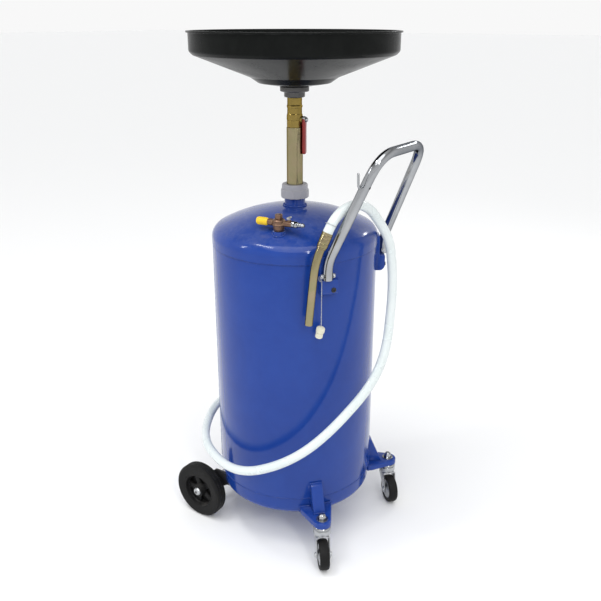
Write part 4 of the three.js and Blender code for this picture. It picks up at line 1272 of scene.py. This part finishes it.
def makeCaster(word, side):
    c = caster
    name = word.capitalize()
    arm = turned(side * c["azimuth"])
    top = c["plateTop"]
    outline = rounded([(168, -40), (206, -40, 10)] + arcOf((c["reach"], 0), 22.5, -70, 70, 22)
                      + [(206, 40, 10), (168, 40)], 0, True, 6)
    pressing = shellOf(openCap(outline, top - 14, top, 3.4), 3.6)
    piece("casterPlate" + name, [(pressing, arm)], "blue_paint", nodes="caster_plate_" + word)
    webOutline = rounded([(190, top + 0.2), (235, top + 0.2, 1), (234, top + 6, 6), (209, top + 64, 5),
                          (203, top + 66.4, 2), (190, top + 66.4)], 0, True, 5)
    web = laid(prism(webOutline, -14.4, 14.4, 3.4, 4), sidewards)
    piece("casterGusset" + name, [(web, arm)], "blue_paint", nodes="caster_gusset_" + word)
    weld("gussetFootWeld" + name, along(arm, [(235.6, -14 + 2 * i, top + 1.2) for i in range(15)]), 5.4)
    crest = [(201.6 - 0.0025 * (i - 7) ** 2, -14 + 2 * i, top + 67) for i in range(15)]
    weld("gussetTopWeld" + name, along(arm, crest), 5.6, seed=6)
    for end in (-1, 1):
        legs = [(200.6 * math.cos(a), 200.6 * math.sin(a), top + 1)
                for a in [math.radians(end * (5 + 0.55 * i)) for i in range(13)]]
        weld("plateWeld" + name + ("Far" if end > 0 else "Near"), along(arm, legs), 5, seed=9 + end)
        rise = [(196.3, end * 40.4, top - 12 + i) for i in range(13)]
        weld("plateSideWeld" + name + ("Far" if end > 0 else "Near"), along(arm, rise), 5, seed=12 + end)

    pivot = arm @ Matrix.Translation((c["reach"] * mm, 0, 0))
    pin = [(0, 79), (7, 79, 1), (8, 80.4, 1), (8, 83.7), (5, 83.7), (5, 99), (20, 99, 1.4),
           (21.4, 101, 1.6), (21.4, 105, 1.8), (19, 107.6, 1.6), (14, 108.4, 1), (14, 118.7), (5, 118.7),
           (5, 133), (0, 133)]
    piece("casterKingpin" + name, [(lathe(rounded(pin, 0, False), 72), pivot)], "chrome",
          nodes="caster_kingpin_" + word)
    dome = rounded([(0, top + 16.6), (4.4, top + 15.8, 2), (7.8, top + 12.6, 2.4), (9, top + 8.6, 1),
                    (9, top + 4), (0, top + 4)], 0, False, 6)
    washer = rounded([(5.2, top + 0.3), (14.5, top + 0.3), (14.5, top + 2.2), (5.2, top + 2.2)], 0.5)
    piece("acornNut" + name, [(lathe(dome, 40), pivot), (polygon(18.4, top + 2.3, top + 9, 6, 0.9), pivot),
                              (lathe(washer, 48), pivot)], "chrome", nodes="acorn_nut_" + word)

    swivel = "swivel_" + word
    spot = pivot.translation
    trailing = Matrix.Translation(spot) @ Matrix.Rotation(math.radians(c["trails"][word]), 4, "Z")
    trail, wheel, legAt, halfLeg = c["trail"], c["wheel"], c["legAt"], c["halfLeg"]
    archOutline = rounded([(-17.5, 74), (-17.5, 84.5, 8), (17.5, 84.5, 8), (17.5, 74), (15, 74),
                           (15, 82, 5.5), (-15, 82, 5.5), (-15, 74)], 0, True, 6)
    parts = [(laid(prism(archOutline, -14, 21, 0.6), acrossX), trailing)]
    legLine = rounded([(-14, 77), (21, 77), (21, 72, 8), (35, 40, 14), (34.4, 34.1)], 0, False, 5)[:-1]
    legLine += arcOf((trail, wheel), 10, 340, 200, 14) + [(-2, 62), (-14, 74)]
    for end in (-1, 1):
        leg = prism(rounded(legLine, 0), end * legAt - halfLeg, end * legAt + halfLeg, 0.6)
        parts.append((laid(leg, sidewards), trailing))
    cup = rounded([(5.4, 84), (20.4, 84, 1), (21.4, 86, 1.6), (21.4, 95.6, 1.8), (20, 98.4, 1.2),
                   (5.4, 98.4)], 0.3)
    parts.append((lathe(cup, 72), Matrix.Translation(spot)))
    piece("casterFork" + name, parts, "bright_zinc", swivel, "caster_fork_" + word)

    axle = trailing @ Matrix.Translation((trail * mm, 0, wheel * mm)) @ sidewards
    outer = legAt + halfLeg + 0.2
    half = [(4, outer), (7.2, outer, 0.4), (7, outer + 1.6, 0.8), (4.6, outer + 3.8, 1.5)]
    bolt = rounded([(0, -outer - 4.2)] + [(r, -z, *rest) for r, z, *rest in half[::-1]] + half
                   + [(0, outer + 4.2)], 0, False, 5)
    piece("casterAxle" + name, [(lathe(bolt, 40), axle)], "bright_zinc", swivel, "caster_axle_" + word)
    wheelBody = "caster_wheel_" + word
    tread = [(25.6, -10.4), (29, -11.6, 2), (33.5, -12.3, 3), (36.4, -9.6, 3), (37.5, -4, 6), (37.5, 4, 6),
             (36.4, 9.6, 3), (33.5, 12.3, 3), (29, 11.6, 2), (25.6, 10.4)]
    piece("casterTyre" + name, [(lathe(rounded(tread, 0, True, 5), 96), axle)], "tyre_rubber", wheelBody,
          "caster_tyre_" + word)
    disc = [(4.3, -14.4), (9.4, -14.4, 1), (11.4, -12, 2), (20, -9.6, 4), (23.4, -10.4, 1),
            (25.3, -10.6, 0.6), (25.3, 10.6, 0.6), (23.4, 10.4, 1), (20, 9.6, 4), (11.4, 12, 2),
            (9.4, 14.4, 1), (4.3, 14.4)]
    piece("casterHub" + name, [(lathe(rounded(disc, 0, True, 4), 72), axle)], "hub_steel", wheelBody,
          "caster_hub_" + word)


for word, side in (("right", -1), ("left", 1)):
    makeCaster(word, side)
print("casters are made")

# Rear wheels and axle.

rear = {"axleX": -180, "wheel": 75, "half": 16.5, "track": 188.5, "cheekY": 160, "spokes": 5}


def makeRear():
    lie = Matrix.Translation(fromAxis(rear["axleX"], 0, rear["wheel"])) @ sidewards
    bar = rounded([(0, -207), (8, -207, 1), (8, 207, 1), (0, 207)], 0, False)
    piece("rearAxle", [(lathe(bar, 48), lie)], "bright_zinc", nodes="rear_axle")
    half = rear["half"]
    for word, side in (("right", -1), ("left", 1)):
        name = word.capitalize()
        cheekOutline = rounded(arcOf((rear["axleX"], rear["wheel"]), 20, 150, 290, 14)
                               + [(-112, 98, 8), (-88, 101.5), (-88, 134), (-150, 134, 10)], 0, True, 5)
        cheek = laid(prism(cheekOutline, -3, 3, 1.2), sidewards)
        collar = lathe(rounded([(8.3, -5), (13, -5), (13, 5), (8.3, 5)], 0.8), 40)
        beside = overAxis @ Matrix.Translation((0, side * rear["cheekY"] * mm, 0))
        bearing = fromAxis(rear["axleX"], side * rear["cheekY"], rear["wheel"])
        piece("axleCheek" + name, [(cheek, beside), (collar, Matrix.Translation(bearing) @ sidewards)],
              "black_paint", nodes="axle_cheek_" + word)
        middleOf = fromAxis(rear["axleX"], side * rear["track"], rear["wheel"])
        place = facing(middleOf, (0, side, 0))
        rolling = "rear_wheel_" + word
        tread = [(47.4, -half + 2.4), (58, -half + 0.8, 3), (66, -half, 4), (71.5, -half + 1.4, 4),
                 (74.4, -half + 4.4, 2), (75, -9, 1), (75, -6.4, 0.4), (73.8, -5.8, 0.3), (73.8, -4.8, 0.3),
                 (75, -4.2, 0.4), (75, 4.2, 0.4), (73.8, 4.8, 0.3), (73.8, 5.8, 0.3), (75, 6.4, 0.4),
                 (75, 9, 1), (74.4, half - 4.4, 2), (71.5, half - 1.4, 2), (69.6, half - 1, 0.4),
                 (69, half - 0.2, 0.4), (66, half, 1), (58, half - 0.8, 3), (47.4, half - 2.4)]
        piece("rearTyre" + name, [(lathe(rounded(tread, 0, True, 5), 144), place)], "tyre_rubber", rolling,
              "rear_tyre_" + word, 28)
        rim = [(41, -11, 1), (47.2, -13.6, 1), (47.2, 13.6, 1), (45.6, 14.8, 0.8), (44, 13.4, 0.8),
               (42.6, 7, 3), (41, 4.4, 1)]
        boss = [(8.3, -half), (15.4, -half, 1), (17, -7, 3), (18.4, 2.6, 2), (18, 5, 2), (15.8, 12, 3),
                (15, half + 0.6, 1), (8.3, half + 0.6)]
        web = [(8.4, -8), (44, -8.6), (44, -6.4, 0.6), (20, -5.4, 3), (8.4, -4)]
        spokeOutline = rounded([(12, -9), (26, -6.6, 12), (43, -9.4), (43, 9.4), (26, 6.6, 12), (12, 9)],
                               0, True, 6)
        spoke = prism(spokeOutline, -5.6, 3.4, 1.4, 3)
        spokes = grow("hubSpokes", toMesh(spoke), setRound, {
            "Count": rear["spokes"], "First Turn": 0.35 if side < 0 else 0.9}, "black_plastic")
        piece("rearHub" + name, [
            (lathe(rounded(rim, 0, True, 4), 96), place), (lathe(rounded(boss, 0, True, 4), 72), place),
            (lathe(rounded(web, 0, True, 4), 96), place),
            (asShape(spokes), place @ scaleUp),
        ], "black_plastic", rolling, "rear_hub_" + word)
        cap = rounded([(0, half + 6.6), (5, half + 6.4, 2), (9, half + 4.6, 2), (10.8, half + 1.4, 0.8),
                       (10.8, half + 0.9), (0, half + 0.9)], 0, False, 5)
        piece("hubCap" + name, [(lathe(cap, 48), place)], "bright_zinc", nodes="hub_cap_" + word)
        squareOutline = rounded([(-3.4, -3.4), (3.4, -3.4), (3.4, 3.4), (-3.4, 3.4)], 0.6)
        square = prism(squareOutline, half + 5, half + 7, 0.3)
        piece("hubCapSquare" + name, [(square, place)], "dark_steel")


makeRear()
print("rear wheels are made")

# Compressed-air fitting.

air = {"x": 55.4, "y": -141.9, "arm": 843, "azimuth": 9, "bungTop": 824, "cockOut": 26}


def makeAir():
    here = turned(air["azimuth"], air["x"], air["y"], 0)
    arm = air["arm"]
    out = here @ facing((0, 0, arm * mm), (1, 0, 0))
    bung = rounded([(7.3, 808), (13.5, 808), (13.5, air["bungTop"], 1), (7.3, air["bungTop"], 0.6)], 0.3)
    piece("airBung", [(lathe(bung, 56), here)], "blue_paint", nodes="air_bung")
    ring = []
    for i in range(60):
        a = math.radians(6 * i)
        x, y = air["x"] + 14.4 * math.cos(a), air["y"] + 14.4 * math.sin(a)
        ring.append(fromAxis(x, y, domeHeight(x, y) + 0.9))
    weld("bungWeld", ring, 4.4, closed=True, seed=4)
    foot = air["bungTop"] + 0.3
    stack = [(4, 812), (7, 812), (7, foot), (10.6, foot, 0.8), (12.4, foot + 5, 2), (13, foot + 9, 1),
             (13.6, arm - 6, 0.5), (14.9, arm - 4.6, 0.7), (15, arm - 2.6, 0.6), (14.2, arm - 1.6, 0.4),
             (14.2, arm + 3.4, 0.4), (15, arm + 4.2, 0.6), (14.6, arm + 6.4, 1), (12.2, arm + 8.6, 1),
             (9, arm + 9.4, 0.6), (4, arm + 9.4)]
    inletEnd = rounded([(0, 0), (7, 0), (7, 15, 0.6), (6.2, 16), (6.2, 40, 0.5), (0, 40)], 0, False)
    ventEnd = rounded([(0, -26.4), (7.2, -26.4, 0.6), (7.2, -14, 0.6), (6.4, -13), (6.4, 0), (0, 0)],
                      0, False)
    ventThread = rounded([(0, -38), (4.4, -38), (4.4, -20), (0, -20)], 0.2, False)
    cockSeat = rounded([(0, arm), (4.9, arm), (4.9, arm + 8.6, 0.6), (0, arm + 8.6)], 0, False)
    stem = here @ Matrix.Translation((air["cockOut"] * mm, 0, 0))
    shapes = [(lathe(rounded(stack, 0.3), 72), here),
              (polygon(15.4, arm + 9, arm + 20, 6, 0.9), here @ Matrix.Rotation(0.3, 4, "Z")),
              (lathe(inletEnd, 40), out), (polygon(13.2, 15, 33, 6, 0.7), out),
              (lathe(ventEnd, 40), out), (polygon(14.4, -24.6, -15, 6, 0.7), out),
              (lathe(ventThread, 32), out), (lathe(cockSeat, 32), stem)]
    piece("airManifold", shapes, "bronze", nodes="air_manifold")
    collar = lathe(rounded([(6.3, 33.4), (7.6, 33.4, 0.5), (7.6, 39.8, 0.5), (6.3, 39.8)], 0.2), 40)
    piece("airCollar", [(collar, out)], "chrome")
    cap = rounded([(0, -54.3), (7.6, -54.3, 1.6), (8.7, -52, 1.6), (8.7, -30, 1), (7.6, -26.8, 1),
                   (4.8, -26.8), (4.8, -40), (0, -40)], 0, False, 5)
    rib = prism(rounded([(8.2, -0.45), (9, -0.3), (9, 0.3), (8.2, 0.45)], 0.15), -51, -31, 0.12, 2)
    ribs = grow("capRibs", toMesh(rib), setRound, {"Count": 24}, "yellow_plastic")
    piece("ventCap", [(lathe(cap, 56), out), (asShape(ribs), out @ scaleUp)], "yellow_plastic",
          "vent", "vent_knob")
    tail = [(2, 40.3), (6.4, 40.3), (6.4, 46.6), (4.3, 47.6, 0.5), (4.3, 49.6, 0.3), (5.4, 50.2, 0.3),
            (5.4, 51.6, 0.3), (4.3, 52.2, 0.3), (4.3, 55.6, 0.5), (5.5, 57.6, 0.8), (5.3, 59, 0.8),
            (3.5, 62, 0.8), (3.3, 63, 0.3), (2, 63)]
    piece("airPlug", [(lathe(rounded(tail, 0.2), 48), out), (polygon(13, 40.4, 46.4, 6, 0.6), out)],
          "chrome", nodes="air_plug")
    wingOutline = rounded([(-2.6, -9), (2.6, -9), (3, -4), (3, 4), (2.6, 9), (-2.6, 9), (-3, 4),
                           (-3, -4)], 2, True, 5)
    wing = prism(wingOutline, arm + 12, arm + 16, 0.9, 3)
    post = lathe(rounded([(0, arm + 9), (2.6, arm + 9), (2.6, arm + 13), (0, arm + 13)], 0.2, False), 28)
    piece("airCock", [(wing, stem), (post, stem)], "bright_zinc", "cock", "air_cock")


# Outlet behind the tank.

outlet = {"azimuth": 158, "height": 250, "reach": 238, "tailAzimuth": 251, "tail": 28}


def makeOutlet():
    o = outlet
    a = math.radians(o["azimuth"])
    way = Vector((math.cos(a), math.sin(a), 0))
    centre = fromAxis(0, 0, o["height"])
    radial = facing(centre, way)
    corner = fromAxis(o["reach"] * way.x, o["reach"] * way.y, o["height"])
    b = math.radians(o["tailAzimuth"])
    tailWay = Vector((math.cos(b), math.sin(b), 0))
    tail = facing(corner, tailWay)
    arm = rounded([(0, 190), (11, 190), (11, 230, 0.6), (12.4, 232, 0.6), (12.4, 238), (0, 238)],
                  0.3, False)
    knee = lathe([(0, -13)] + arcOf((0, 0), 13, -84, 84, 18) + [(0, 13)], 56)
    barbs = [(0, 0), (12.4, 0), (12.4, 6, 0.6), (10.4, 8, 0.5), (9.4, 9), (9.4, o["tail"] - 1),
             (0, o["tail"] - 1)]
    piece("dischargeElbow", [
        (lathe(arm, 56), radial), (polygon(29, 204, 214, 6, 1), radial),
        (knee, Matrix.Translation(corner)), (lathe(rounded(barbs, 0.2, False), 56), tail),
    ], "brass", nodes="discharge_elbow")
    boss = lathe(rounded([(11.4, 196), (20, 196), (20, 203, 1), (11.4, 203.4)], 0.4), 64)
    piece("outletBoss", [(boss, radial)], "blue_paint")
    ring = [radial @ (Vector((21 * math.cos(t), 21 * math.sin(t), 0)) * mm
                      + Vector((0, 0, math.sqrt(200 ** 2 - (21 * math.sin(t)) ** 2) + 0.8)) * mm)
            for t in [math.radians(6 * i) for i in range(60)]]
    weld("outletWeld", ring, 5, closed=True, seed=7)
    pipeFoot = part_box("pickup_pipe")[0].z / mm + 1
    pipe = bentPath([(190 * way.x, 190 * way.y, o["height"]), (165 * way.x, 165 * way.y, o["height"]),
                     (150 * way.x, 150 * way.y, pipeFoot)], [14], 12)
    piece("pickupPipe", [(sweep(pipe, 10, 32, 8), overAxis)], "bright_zinc", nodes="pickup_pipe")

    at = o["tail"] + 5
    band = [(lathe(rounded([(12.5, at), (13.3, at), (13.3, at + 9), (12.5, at + 9)], 0.25), 72), tail)]
    housingOutline = rounded([(-5, at - 0.5), (5, at - 0.5), (5, at + 9.5), (-5, at + 9.5)], 1.2)
    band.append((prism(housingOutline, 13, 19.4, 1), tail @ acrossX))
    screw = facing(tail @ Vector((16.4 * mm, 0, (at + 4.5) * mm)), tail.to_3x3() @ Vector((0, 1, 0)))
    band.append((polygon(7, 4.6, 8.4, 6, 0.4), screw))
    band.append((lathe(rounded([(0, -8), (2.4, -8), (2.4, 5), (0, 5)], 0.2, False), 24), screw))
    notchOutline = rounded([(-0.55, at + 1.6), (0.55, at + 1.6), (0.55, at + 7.4), (-0.55, at + 7.4)], 0.3)
    notch = laid(prism(notchOutline, 13.1, 13.7), acrossX)
    teeth = grow("bandTeeth", toMesh(notch), setRound, {"Count": 36}, "bright_zinc")
    band.append((asShape(teeth), tail @ scaleUp))
    piece("hoseClamp", band, "bright_zinc", nodes="hose_clamp")


makeAir()
makeOutlet()
print("air fitting and outlet are made")
